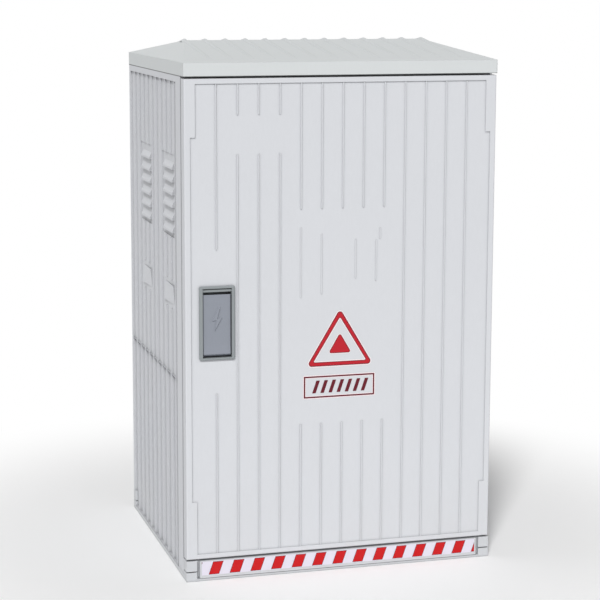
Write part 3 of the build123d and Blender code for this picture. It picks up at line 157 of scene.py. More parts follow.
def moulded_skin_group():
    """Moulded polyester: orange-peel height, glass-fibre mottle, dust, painted shade in grooves and inner
    corners, a painted shade line and soft edges.

    Dust share = dust x (rise towards the ground x clouds + run marks). Painted shade darkens grooves and
    inner corners by
    1 - darkening x (1 - openness within reach). The painted shade line darkens within its reach of one
    height.
    """
    group, start, end = new_group(
        "Moulded skin",
        [
            ("Colour", "NodeSocketColor", (0.7, 0.7, 0.7, 1.0)),
            ("Dust Colour", "NodeSocketColor", (0.5, 0.48, 0.44, 1.0)),
            ("Mottle", "NodeSocketFloat", 0.03),
            ("Dust", "NodeSocketFloat", 0.1),
            ("Gloss Roughness", "NodeSocketFloat", 0.45),
            ("Painted Hollow Shade", "NodeSocketFloat", 0.5),
            ("Painted Shade Reach", "NodeSocketFloat", 0.012),
            ("Edge Radius", "NodeSocketFloat", 0.001),
            ("Shade Line Height", "NodeSocketFloat", -1.0),
        ],
        [
            ("Colour", "NodeSocketColor"),
            ("Roughness", "NodeSocketFloat"),
            ("Height", "NodeSocketFloat"),
            ("Edge Normal", "NodeSocketVector"),
        ],
    )
    links = group.links
    place = add_node(group, "ShaderNodeTexCoord").outputs["Object"]
    peel = noise_node(group, place, scale=900.0, detail=2.0)
    drawn_up = stretched(group, place, FIBRE_SCALE)
    fibres = noise_node(group, drawn_up, scale=4.0, detail=5.0, roughness=0.6)
    clouds = noise_node(group, place, scale=5.0, detail=4.0)
    drawn_down = stretched(group, place, STREAK_SCALE)
    streaks = noise_node(group, drawn_down, scale=1.0, detail=4.0, roughness=0.6)
    split = add_node(group, "ShaderNodeSeparateXYZ")
    links.new(place, split.inputs[0])
    near_ground = ramp_node(group, split.outputs["Z"], low=DUST_TOP, high=0.0)
    dirty = math_node(group, "MULTIPLY", near_ground, ramp_node(group, clouds, low=0.35, high=0.7))
    marked = ramp_node(group, streaks, low=0.62, high=0.86)
    run_marks = math_node(group, "MULTIPLY", marked, RUN_MARK_SHARE)
    dust_mask = math_node(group, "ADD", dirty, run_marks, clamp=True)
    dust_share = math_node(group, "MULTIPLY", dust_mask, start.outputs["Dust"], clamp=True)
    mottle = math_node(group, "SUBTRACT", fibres, 0.5)
    tone = math_node(group, "ADD", math_node(group, "MULTIPLY", mottle, start.outputs["Mottle"]), 1.0)
    cloud_sway = math_node(group, "SUBTRACT", clouds, 0.5)
    cloud_tone = math_node(group, "MULTIPLY", cloud_sway, CLOUD_TONE)
    even_shade = math_node(group, "ADD", tone, cloud_tone)
    # Painted shade: grooves and inner corners darken by the share of nearby surface that an occlusion ray
    # meets.
    openness = add_node(group, "ShaderNodeAmbientOcclusion", samples=8)
    links.new(start.outputs["Painted Shade Reach"], openness.inputs["Distance"])
    hollow = math_node(group, "SUBTRACT", 1.0, openness.outputs["AO"])
    painted_shade_amount = math_node(group, "MULTIPLY", hollow, start.outputs["Painted Hollow Shade"])
    painted_hollow_tone = math_node(group, "SUBTRACT", 1.0, painted_shade_amount)
    # Painted shade: a dark line at one height, the joint under the roof's fascia.
    above_shade_line = math_node(group, "SUBTRACT", split.outputs["Z"], start.outputs["Shade Line Height"])
    off_shade_line = ramp_node(group, math_node(group, "ABSOLUTE", above_shade_line), low=SHADE_LINE_CORE, high=SHADE_LINE_REACH)
    shade_line_tone = math_node(group, "ADD", math_node(group, "MULTIPLY", off_shade_line, 1 - SHADE_LINE_TONE), SHADE_LINE_TONE)
    shade = math_node(group, "MULTIPLY", math_node(group, "MULTIPLY", even_shade, painted_hollow_tone), shade_line_tone)
    soft = add_node(group, "ShaderNodeBevel", samples=4)
    links.new(start.outputs["Edge Radius"], soft.inputs["Radius"])
    links.new(soft.outputs["Normal"], end.inputs["Edge Normal"])
    toned = add_node(group, "ShaderNodeVectorMath", operation="SCALE")
    links.new(start.outputs["Colour"], toned.inputs[0])
    links.new(shade, toned.inputs["Scale"])
    dusted = mixed_colour(group, dust_share, toned.outputs[0], start.outputs["Dust Colour"])
    links.new(dusted, end.inputs["Colour"])
    duller = math_node(group, "MULTIPLY", dust_share, DUST_ROUGHNESS)
    patchy = math_node(group, "MULTIPLY", cloud_sway, CLOUD_ROUGHNESS)
    uneven = math_node(group, "ADD", start.outputs["Gloss Roughness"], patchy)
    links.new(math_node(group, "ADD", uneven, duller, clamp=True), end.inputs["Roughness"])
    coarse = math_node(group, "MULTIPLY", fibres, 1 - PEEL_SHARE)
    fine = math_node(group, "MULTIPLY", peel, PEEL_SHARE)
    links.new(math_node(group, "ADD", coarse, fine), end.inputs["Height"])
    return group


def plated_metal_group():
    """Rolled metal: fine lines along Z and cloudy darker stains in the plating."""
    group, start, end = new_group(
        "Plated metal",
        [
            ("Colour", "NodeSocketColor", (0.6, 0.6, 0.62, 1.0)),
            ("Stain Colour", "NodeSocketColor", (0.4, 0.38, 0.36, 1.0)),
            ("Stain", "NodeSocketFloat", 0.3),
            ("Gloss Roughness", "NodeSocketFloat", 0.32),
        ],
        [
            ("Colour", "NodeSocketColor"),
            ("Roughness", "NodeSocketFloat"),
            ("Height", "NodeSocketFloat"),
        ],
    )
    links = group.links
    place = add_node(group, "ShaderNodeTexCoord").outputs["Object"]
    lines = noise_node(group, stretched(group, place, ROLLING_SCALE), scale=1.0, detail=2.0)
    clouds = noise_node(group, place, scale=45.0, detail=4.0, roughness=0.6)
    stains = ramp_node(group, clouds, low=0.45, high=0.75)
    stain_share = math_node(group, "MULTIPLY", stains, start.outputs["Stain"], clamp=True)
    stained = mixed_colour(group, stain_share, start.outputs["Colour"], start.outputs["Stain Colour"])
    links.new(stained, end.inputs["Colour"])
    duller = math_node(group, "MULTIPLY", clouds, PLATING_ROUGHNESS)
    rough = math_node(group, "ADD", start.outputs["Gloss Roughness"], duller, clamp=True)
    links.new(rough, end.inputs["Roughness"])
    links.new(lines, end.inputs["Height"])
    return group


def printed_film_group():
    """Printed film: even ink that fades slightly in clouds."""
    group, start, end = new_group(
        "Printed film",
        [
            ("Colour", "NodeSocketColor", (0.7, 0.05, 0.06, 1.0)),
            ("Fade Colour", "NodeSocketColor", (0.8, 0.3, 0.3, 1.0)),
            ("Fade", "NodeSocketFloat", 0.15),
        ],
        [("Colour", "NodeSocketColor"), ("Roughness", "NodeSocketFloat"), ("Height", "NodeSocketFloat")],
    )
    links = group.links
    place = add_node(group, "ShaderNodeTexCoord").outputs["Object"]
    clouds = noise_node(group, place, scale=38.0, detail=5.0, roughness=0.65)
    faint = ramp_node(group, clouds, low=0.4, high=0.8)
    share = math_node(group, "MULTIPLY", faint, start.outputs["Fade"], clamp=True)
    faded = mixed_colour(group, share, start.outputs["Colour"], start.outputs["Fade Colour"])
    links.new(faded, end.inputs["Colour"])
    duller = math_node(group, "MULTIPLY", clouds, FADE_ROUGHNESS)
    links.new(math_node(group, "ADD", duller, INK_ROUGHNESS), end.inputs["Roughness"])
    links.new(noise_node(group, place, scale=420.0, detail=2.0), end.inputs["Height"])
    return group


def shared_group(name, maker):
    """The node group of this name, made once."""
    return bpy.data.node_groups.get(name) or maker()


def finish_material(
    name, group, values, bump_distance, bump_strength=0.3, metallic=0.0, coat=0.0, specular=0.5,
):
    """A material whose group feeds the Principled BSDF's colour, roughness and bump."""
    material = bpy.data.materials.get(name) or bpy.data.materials.new(name)
    material.use_nodes = True
    tree = material.node_tree
    tree.nodes.clear()
    output = add_node(tree, "ShaderNodeOutputMaterial")
    shader = add_node(tree, "ShaderNodeBsdfPrincipled")
    finish = add_node(tree, "ShaderNodeGroup", node_tree=group)
    for key, value in values.items():
        finish.inputs[key].default_value = (*value, 1.0) if isinstance(value, (tuple, list)) else value
    bump = add_node(tree, "ShaderNodeBump")
    bump.inputs["Strength"].default_value = bump_strength
    bump.inputs["Distance"].default_value = bump_distance
    tree.links.new(finish.outputs["Colour"], shader.inputs["Base Color"])
    tree.links.new(finish.outputs["Roughness"], shader.inputs["Roughness"])
    tree.links.new(finish.outputs["Height"], bump.inputs["Height"])
    if "Edge Normal" in finish.outputs:
        tree.links.new(finish.outputs["Edge Normal"], bump.inputs["Normal"])
    tree.links.new(bump.outputs["Normal"], shader.inputs["Normal"])
    shader.inputs["Metallic"].default_value = metallic
    shader.inputs["Coat Weight"].default_value = coat
    shader.inputs["Specular IOR Level"].default_value = specular
    tree.links.new(shader.outputs["BSDF"], output.inputs["Surface"])
    return material


def moulded(
    name, colour, settings, roughness=0.45, bump=0.0002, coat=0.0, edge=0.001, shade_line_height=-1.0, painted_shade_scale=1.0,
    reach=0.006, specular=0.5,
):
    """A moulded material of this colour; edge is the radius that its edges look rounded by."""
    # All moulded materials get painted shade in grooves and inner corners; the height argument places a
    # painted shade line, out of sight at the default of -1.
    values = {
        "Colour": tuple(colour),
        "Dust Colour": tuple(settings.dust_colour),
        "Mottle": settings.mottle,
        "Dust": settings.dust,
        "Gloss Roughness": roughness,
        "Painted Hollow Shade": settings.painted_hollow_shade * painted_shade_scale,
        "Painted Shade Reach": reach,
        "Edge Radius": edge,
        "Shade Line Height": shade_line_height,
    }
    group = shared_group("Moulded skin", moulded_skin_group)
    return finish_material(name, group, values, bump, coat=coat, specular=specular)


def plated(name, colour, stain_colour, stain, roughness):
    """A metal material of this colour."""
    values = {"Colour": colour, "Stain Colour": stain_colour, "Stain": stain, "Gloss Roughness": roughness}
    group = shared_group("Plated metal", plated_metal_group)
    return finish_material(name, group, values, FILM_BUMP, bump_strength=0.2, metallic=1.0)


def printed(name, colour, fade_colour, fade):
    """A printed or painted mark."""
    values = {"Colour": tuple(colour), "Fade Colour": tuple(fade_colour), "Fade": fade}
    group = shared_group("Printed film", printed_film_group)
    return finish_material(name, group, values, FILM_BUMP, bump_strength=0.15, specular=0.25)


def give(material, *names):
    """Puts the material on these CAD nodes."""
    for name in names:
        mesh = NODES[name].data
        mesh.materials.clear()
        mesh.materials.append(material)


# Surfaces


def grid_mesh(name, points, loop_rows, loop_columns):
    """Mesh of a grid of points (rows, columns, 3): quads between neighbours, closed where it loops."""
    rows, columns = points.shape[:2]
    index = np.arange(rows * columns).reshape(rows, columns)
    if loop_rows:
        index = np.vstack([index, index[:1]])
    if loop_columns:
        index = np.hstack([index, index[:, :1]])
    quads = np.stack([index[:-1, :-1], index[1:, :-1], index[1:, 1:], index[:-1, 1:]], axis=-1)
    mesh = bpy.data.meshes.new(name)
    mesh.from_pydata(points.reshape(-1, 3).tolist(), [], quads.reshape(-1, 4).tolist())
    return mesh


def closed_mesh(mesh):
    """Merges doubled points, drops empty faces and turns all faces outwards; changes the mesh itself."""
    work = bmesh.new()
    work.from_mesh(mesh)
    bmesh.ops.remove_doubles(work, verts=work.verts, dist=MERGE_REACH)
    bmesh.ops.dissolve_degenerate(work, edges=work.edges, dist=MERGE_REACH)
    bmesh.ops.recalc_face_normals(work, faces=work.faces)
    work.to_mesh(mesh)
    work.free()
    return mesh


def joined(name, meshes):
    """One mesh out of several."""
    work = bmesh.new()
    for mesh in meshes:
        work.from_mesh(mesh)
        bpy.data.meshes.remove(mesh)
    mesh = bpy.data.meshes.new(name)
    work.to_mesh(mesh)
    work.free()
    return mesh


def piece(name, mesh, material, body):
    """A finished piece with its mesh in the shared frame, riding on its body."""
    made = bpy.data.objects.new(name, mesh)
    bpy.context.scene.collection.objects.link(made)
    mesh.materials.clear()
    mesh.materials.append(material)
    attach(made, body)
    return made


def corner_rays(corners):
    """At each corner: the unit rays back and ahead along the edges, their bisector and half angle."""
    back = np.roll(corners, 1, axis=0) - corners
    ahead = np.roll(corners, -1, axis=0) - corners
    back /= np.linalg.norm(back, axis=1, keepdims=True)
    ahead /= np.linalg.norm(ahead, axis=1, keepdims=True)
    bisector = back + ahead
    bisector /= np.linalg.norm(bisector, axis=1, keepdims=True)
    half = np.arccos(np.clip((back * ahead).sum(axis=1), -1, 1)) / 2
    return back, ahead, bisector, half


def rounded_outline(corners, radius, steps=9):
    """Closed outline with round corners: arcs about points on the bisectors at radius / sin(half angle)."""
    corners = np.asarray(corners, float)
    back, ahead, bisector, half = corner_rays(corners)
    centres = corners + bisector * (radius / np.sin(half))[:, None]
    reach = (radius / np.tan(half))[:, None]
    start = np.arctan2(*(corners + back * reach - centres).T[::-1])
    finish = np.arctan2(*(corners + ahead * reach - centres).T[::-1])
    sweep = (finish - start + np.pi) % (2 * np.pi) - np.pi
    angles = start[:, None] + sweep[:, None] * np.linspace(0, 1, steps)[None, :]
    arcs = centres[:, None, :] + radius * np.stack([np.cos(angles), np.sin(angles)], axis=-1)
    return arcs.reshape(-1, 2)


def band_mesh(name, inner, outer, front, back):
    """A flat band between two outlines of equal count: a rectangle, back to front, carried round them."""
    layers = [(inner, back), (inner, front), (outer, front), (outer, back)]
    loops = [np.column_stack([line[:, 0], np.full(len(line), depth), line[:, 1]]) for line, depth in layers]
    return closed_mesh(grid_mesh(name, np.stack(loops) * MM, True, True))


def plate_mesh(name, outline, front, back):
    """A flat plate inside an outline: the band whose inner outline shrinks to the centre."""
    centre = np.repeat(outline.mean(axis=0, keepdims=True), len(outline), axis=0)
    return band_mesh(name, centre, outline, front, back)


def grown(corners, amount):
    """Corners moved out on their bisectors by amount / sin(half angle); a negative amount moves them in."""
    bisector, half = corner_rays(corners)[2:]
    return corners - bisector * (amount / np.sin(half))[:, None]


def round_ring(corners, radius, amount):
    """The corners grown by an amount, with round corners that grow along."""
    return rounded_outline(grown(corners, amount), max(radius + amount, LEAST_ROUND))


def ring_mesh(name, corners, radius, outer, inner, front, back):
    """A band round a rounded outline, between two amounts that it is grown by."""
    inside = round_ring(corners, radius, inner)
    return band_mesh(name, inside, round_ring(corners, radius, outer), front, back)


def cut_level(corners, limit, way):
    """The part of a convex polygon with way x X <= way x limit: each edge that crosses gives a point."""
    kept = []
    for (ax, az), (bx, bz) in zip(corners, np.roll(corners, -1, axis=0)):
        if way * ax <= way * limit:
            kept.append((ax, az))
        if (ax - limit) * (bx - limit) < 0:
            kept.append((limit, az + (bz - az) * (limit - ax) / (bx - ax)))
    return np.array(kept)


def shell_mesh(name, outer, inner):
    """A wall between two grids of equal shape, closed at both ends on the line (outer + inner) / 2."""
    middle = (outer + inner) / 2
    around = np.concatenate([outer, inner[:, ::-1]], axis=1)
    ends = np.concatenate([middle, middle[:, ::-1]], axis=1)
    points = np.concatenate([ends[:1], around, ends[-1:]], axis=0)
    return closed_mesh(grid_mesh(name, points * MM, False, True))


def edge_reach(x, z, corners):
    """Least distance to a polygon's edges, positive inside, which an odd count of crossings shows."""
    nearest = np.full(x.shape, np.inf)
    inside = np.zeros(x.shape, bool)
    for (ax, az), (bx, bz) in zip(corners, np.roll(corners, -1, axis=0)):
        square = (bx - ax) ** 2 + (bz - az) ** 2
        along = np.clip(((x - ax) * (bx - ax) + (z - az) * (bz - az)) / square, 0, 1)
        nearest = np.minimum(nearest, np.hypot(x - ax - along * (bx - ax), z - az - along * (bz - az)))
        if az != bz:
            inside ^= ((az > z) != (bz > z)) & (x < ax + (z - az) * (bx - ax) / (bz - az))
    return np.where(inside, nearest, -nearest)


def round_over(distance, radius):
    """How far a face drops near its rim: r - sqrt(r^2 - (r - d)^2) for a distance d below r."""
    short = np.clip(radius - distance, 0, radius)
    return radius - np.sqrt(radius**2 - short**2)


# The handle flap, in millimetres

FLAP_X = -279.5
FLAP_HALF = 30.4
FLAP_TOP = 630.2
FLAP_CREASE = 521.5
FLAP_LIP = 500.2
FLAP_FRONT = -299.0
FLAP_LIP_FRONT = -300.3
FLAP_WALL = 3.0
FLAP_FOLD = 8.0
FLAP_CORNER = 1.6
FLAP_STEP = 0.7
FLAP_AXIS_Y = -292.0
FLAP_AXIS_Z = 502.7
BARREL_R = 6.6
BARREL_BORE_R = 2.3
BARREL_END_GAP = 0.3
BARREL_STEPS = 64
ZIGZAG_Z = 575.45
ZIGZAG_RISE = 1.8
ZIGZAG_SLOPE = 1.2
ZIGZAG = ((4, 27), (-12, -3.4), (-2, -1.7), (-6, -27), (12, 4.5), (1.5, 2.7), (8, 27))


def flap_front(x, z):
    """Front face: flat to the crease, sloping out below it, round at its rims.

    The zigzag rises by ZIGZAG_RISE x clip(distance inside its outline / ZIGZAG_SLOPE, 0, 1).
    """
    down = np.clip((FLAP_CREASE - z) / (FLAP_CREASE - FLAP_LIP), 0, 1)
    depth = FLAP_FRONT + (FLAP_LIP_FRONT - FLAP_FRONT) * down
    rim = np.minimum(FLAP_HALF - np.abs(x), np.minimum(FLAP_TOP - z, z - FLAP_LIP))
    mark = edge_reach(x, z - ZIGZAG_Z, np.array(ZIGZAG, float))
    return depth + round_over(rim, FLAP_CORNER) - ZIGZAG_RISE * np.clip(mark / ZIGZAG_SLOPE, 0, 1)


def flap_folds(half, heights):
    """The back edges of the two folded sides, one point to each height."""
    depths = np.full_like(heights, FLAP_FRONT + FLAP_FOLD)
    sides = [np.full_like(heights, FLAP_X + way * half) for way in (-1, 1)]
    return [np.column_stack([side, depths, heights])[:, None, :] for side in sides]


def flap_shell_mesh():
    """The face with its folded sides: the path across goes up one fold, over the face and down the other."""
    face = np.linspace(-FLAP_HALF, FLAP_HALF, int(2 * FLAP_HALF / FLAP_STEP) + 1)
    rows = np.linspace(FLAP_LIP, FLAP_TOP, int((FLAP_TOP - FLAP_LIP) / FLAP_STEP) + 1)
    x, z = np.meshgrid(face, rows)
    outer = np.stack([x + FLAP_X, flap_front(x, z), z], axis=-1)
    inner_half = FLAP_HALF - FLAP_WALL
    inner_x = np.clip(x, -inner_half, inner_half)
    inner_z = np.clip(z, FLAP_LIP + FLAP_WALL, FLAP_TOP - FLAP_WALL)
    smooth_back = FLAP_FRONT + FLAP_WALL + np.zeros_like(x)
    inner = np.stack([inner_x + FLAP_X, smooth_back, inner_z], axis=-1)
    outer_folds = flap_folds(FLAP_HALF, np.clip(rows, FLAP_CREASE - FLAP_WALL, FLAP_TOP))
    inner_folds = flap_folds(inner_half, np.clip(rows, FLAP_CREASE, FLAP_TOP - FLAP_WALL))
    return shell_mesh(
        "flap_shell",
        np.concatenate([outer_folds[0], outer, outer_folds[1]], axis=1),
        np.concatenate([inner_folds[0], inner, inner_folds[1]], axis=1),
    )


def flap_barrel_mesh():
    """The hinge barrel: a ring section turned about the axis, y = axis + r cos a, z = axis + r sin a."""
    reach = FLAP_HALF - BARREL_END_GAP
    along = FLAP_X + np.array([[-reach, -reach, reach, reach]])
    radius = np.array([[BARREL_BORE_R, BARREL_R, BARREL_R, BARREL_BORE_R]])
    turn = np.linspace(0, 2 * np.pi, BARREL_STEPS, endpoint=False)[:, None]
    points = np.stack(
        [along + 0 * turn, FLAP_AXIS_Y + radius * np.cos(turn), FLAP_AXIS_Z + radius * np.sin(turn)], axis=-1
    )
    return closed_mesh(grid_mesh("flap_barrel", points * MM, True, True))


# Adjustable values


class CabinetFinishes(bpy.types.PropertyGroup):
    """Colours, dirt and painted shade of the moulded pieces."""

    panel_colour: FloatVectorProperty(
        name="Panels", description="Colour of door, sides and back", subtype="COLOR", size=3, min=0,
        max=1, default=(0.675, 0.688, 0.718),
    )
    roof_colour: FloatVectorProperty(
        name="Roof", description="Colour of the roof", subtype="COLOR", size=3, min=0, max=1,
        default=(0.665, 0.690, 0.695),
    )
    base_colour: FloatVectorProperty(
        name="Base", description="Colour of the base rings", subtype="COLOR", size=3, min=0, max=1,
        default=(0.60, 0.615, 0.64),
    )
    bezel_colour: FloatVectorProperty(
        name="Handle frame", description="Colour of the frame round the handle", subtype="COLOR", size=3,
        min=0, max=1, default=(0.275, 0.30, 0.31),
    )
    flap_colour: FloatVectorProperty(
        name="Handle flap", description="Colour of the flap", subtype="COLOR", size=3, min=0, max=1,
        default=(0.265, 0.285, 0.33),
    )
    # Strength of the painted shade in grooves and inner corners.
    painted_hollow_shade: FloatProperty(
        name="Hollows", description="How much grooves and inner corners darken", default=0.45, min=0, max=1
    )
    roof_edge: FloatProperty(
        name="Roof edges", description="Radius that the roof's edges look rounded by", subtype="DISTANCE",
        unit="LENGTH", default=0.0035, min=0, max=0.01,
    )
    dust_colour: FloatVectorProperty(
        name="Dust", description="Colour of the dust", subtype="COLOR", size=3, min=0, max=1,
        default=(0.48, 0.46, 0.43),
    )
    mottle: FloatProperty(
        name="Mottle", description="Unevenness of the moulded colour", default=0.05, min=0, max=0.5
    )
    dust: FloatProperty(
        name="Dust share", description="How much dust lies on the panels", default=0.12, min=0, max=1
    )


class CabinetMarks(bpy.types.PropertyGroup):
    """Printed marks on the door and the kick panel."""

    ink_colour: FloatVectorProperty(
        name="Ink", description="Colour of the printed marks", subtype="COLOR", size=3, min=0, max=1,
        default=(0.50, 0.014, 0.026),
    )
    stripe_colour: FloatVectorProperty(
        name="Stripes' red", description="Colour of the tape's stripes", subtype="COLOR", size=3, min=0,
        max=1, default=(0.58, 0.006, 0.009),
    )
    # Also the colour of the painted shadow round the tape's stripes.
    dark_ink_and_shadow_colour: FloatVectorProperty(
        name="Dark ink and painted shadow", description="Colour of the box and of the dark edges", subtype="COLOR", size=3,
        min=0, max=1, default=(0.13, 0.008, 0.018),
    )
    rim_colour: FloatVectorProperty(
        name="Rim", description="Colour of the pale rim round the marks", subtype="COLOR", size=3, min=0,
        max=1, default=(0.90, 0.80, 0.81),
    )
    tape_colour: FloatVectorProperty(
        name="Tape", description="Ground colour of the striped tape", subtype="COLOR", size=3, min=0,
        max=1, default=(0.76, 0.73, 0.83),
    )
    print_height: FloatProperty(
        name="Print height", description="Height of sign and tape over their panels", subtype="DISTANCE",
        unit="LENGTH", default=0.0002, min=0.00005, max=0.001,
    )
    stripe_count: IntProperty(
        name="Stripes", description="Full stripes on the tape", default=13, min=3, max=40
    )


class CabinetStage(bpy.types.PropertyGroup):
    """Light, floor and camera."""

    world_strength: FloatProperty(
        name="World light", description="Strength of the even light", default=0.35, min=0, max=3
    )
    sun_strength: FloatProperty(
        name="Sun", description="Strength of the key light", default=2.15, min=0, max=10
    )
    floor_colour: FloatVectorProperty(
        name="Floor", description="Colour of the floor", subtype="COLOR", size=3, min=0, max=1,
        default=(0.97, 0.97, 0.97),
    )
    focal_length: FloatProperty(
        name="Focal length", description="Focal length of the camera", subtype="DISTANCE_CAMERA",
        default=109.39, min=10, max=300,
    )


# Pieces


class CABINET_OT_moulded_finish(bpy.types.Operator):
    """Gives the moulded panels, the roof, the base and the handle frame their finishes"""

    bl_idname = "cabinet.moulded_finish"
    bl_label = "Moulded finishes"

    def execute(self, context):
        look = context.scene.cabinet_finishes
        # Door, walls and roof get the painted shade line at the top of the walls, under the roof's fascia.
        matt = {"roughness": 0.58, "specular": 0.3, "shade_line_height": WALL_TOP * MM}
        door = moulded("Panel polyester", look.panel_colour, look, **matt)
        give(door, "door_panel", "door_stiles", "door_rails", "door_corner_blocks", "door_stiffeners",
             "front_posts")
        # The walls get stronger painted shade over a wider reach in their grooves.
        wall = moulded("Wall polyester", look.panel_colour, look, painted_shade_scale=1.9, reach=0.022, **matt)
        give(wall, "left_side_panel", "right_side_panel", "back_panel")
        give(moulded("Roof polyester", look.roof_colour, look, edge=look.roof_edge, **matt), "roof")
        base = moulded("Base polyester", look.base_colour, look)
        give(base, "foot_frame", "sill_frame", "kick_panel", "threshold_bar", "header_bar")
        frame_finish = moulded(
            "Handle frame plastic", look.bezel_colour, look, roughness=0.42, bump=0.0001, edge=0.0006
        )
        give(frame_finish, "handle_housing")
        return {"FINISHED"}


class CABINET_OT_handle_flap(bpy.types.Operator):
    """Makes the handle flap: a sunk face with a raised zigzag, folded sides and a hinge barrel"""

    bl_idname = "cabinet.handle_flap"
    bl_label = "Handle flap"

    def execute(self, context):
        look = context.scene.cabinet_finishes
        finish = moulded(
            "Handle flap plastic", look.flap_colour, look, roughness=0.38, bump=0.0001, edge=0.0005
        )
        flap = joined("handle_flap_skin", [flap_shell_mesh(), flap_barrel_mesh()])
        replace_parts(piece("handle_flap_skin", flap, finish, "flap"), "handle_flap")
        return {"FINISHED"}


class CABINET_OT_metal_finish(bpy.types.Operator):
    """Gives the steel and copper pieces their finishes"""

    bl_idname = "cabinet.metal_finish"
    bl_label = "Metal finishes"

    def execute(self, context):
        zinc = plated("Zinc plate", (0.62, 0.63, 0.65), (0.42, 0.42, 0.40), stain=0.35, roughness=0.28)
        give(zinc, "upper_hinge_bracket", "hinge_pins", "flap_pin", "lock_spindle", "lock_gear",
             "lock_plate", "centre_tongue", "tongue_nut", "upper_lock_rod", "lower_lock_rod", "upper_rack",
             "lower_rack", "rod_keepers", "mounting_rails", "clamp_rail", "neutral_brackets", "tie_bolts",
             "foot_screws", "kick_screws", "back_bolts", "header_screws", "roof_screws", "bracket_screws",
             "lock_plate_screws")
        copper = plated("Bare copper", (0.78, 0.42, 0.27), (0.38, 0.20, 0.14), stain=0.5, roughness=0.25)
        give(copper, "busbars", "neutral_bar", "cable_terminals")
        return {"FINISHED"}


class CABINET_OT_fitting_finish(bpy.types.Operator):
    """Gives the seal, guides, carriers and fuse gear their finishes"""

    bl_idname = "cabinet.fitting_finish"
    bl_label = "Fitting finishes"

    def execute(self, context):
        look = context.scene.cabinet_finishes
        black = moulded("Black moulding", (0.035, 0.036, 0.04), look, roughness=0.5)
        give(black, "rod_guides", "lower_hinge_bush", "busbar_carriers", "cable_saddles")
        give(moulded("Fuse rail moulding", (0.05, 0.052, 0.06), look, roughness=0.42), "fuse_rails")
        give(moulded("Fuse ceramic", (0.72, 0.70, 0.64), look, roughness=0.25, coat=0.4), "fuse_links")
        give(moulded("Seal rubber", (0.02, 0.02, 0.022), look, roughness=0.7), "door_gasket")
        return {"FINISHED"}


# Printed marks: places on the door and the kick panel, in millimetres

DOOR_FIELD_Y = -297.5
SIGN_CORNERS = np.array([(-4.5, 587.5), (-80.6, 461.2), (71.2, 461.2)])
SIGN_WINDOW = np.array([(-4.5, 568.3), (-64.6, 470.6), (55.6, 470.6)])
SIGN_CORE = np.array([(-4.5, 534.0), (-31.0, 489.0), (22.0, 489.0)])
SIGN_BOX = np.array([(-86.0, 440.0), (-86.0, 391.6), (75.2, 391.6), (75.2, 440.0)])
SIGN_ROUND = 7.0
WINDOW_ROUND = 2.0
CORE_ROUND = 4.0
BOX_ROUND = 1.2
BAR_ROUND = 0.8
SIGN_EDGE = 1.7
WINDOW_EDGE = 1.3
CORE_EDGE = 1.4
BOX_EDGE = 3.4
SIGN_RIM = 2.2
WINDOW_RIM = 2.0
CORE_RIM = 1.6
BOX_RIM = 1.8
BOX_INNER_RIM = 1.4
BAR_LOW = 402.0
BAR_HIGH = 430.0
BAR_WIDTH = 8.0
BAR_LEAN = 9.5
BAR_PLACES = np.linspace(-67.0, 44.0, 7)

KICK_Y = -300.0
TAPE_LOW = 12.4
TAPE_HIGH = 42.8
TAPE_HALF = 316.0
TAPE_ROUND = 0.8
STRIPE_FIRST = -300.9
STRIPE_PITCH = 46.85
STRIPE_WIDTH = 23.4
STRIPE_LEAN = 10.2
STRIPE_MARGIN = 0.9
# Width of the dark border of painted shadow round each red stripe, then how many print heights that border
# and the red stand proud.
STRIPE_SHADOW_EDGE = 1.0
SHADOW_BORDER_LIFTS = 1.5
FILL_LIFTS = 2.0


def slanted_bar(x, low, high, width, lean):
    """Corners of an upright bar whose top leans over to the right."""
    return np.array([(x, low), (x + width, low), (x + width + lean, high), (x + lean, high)])


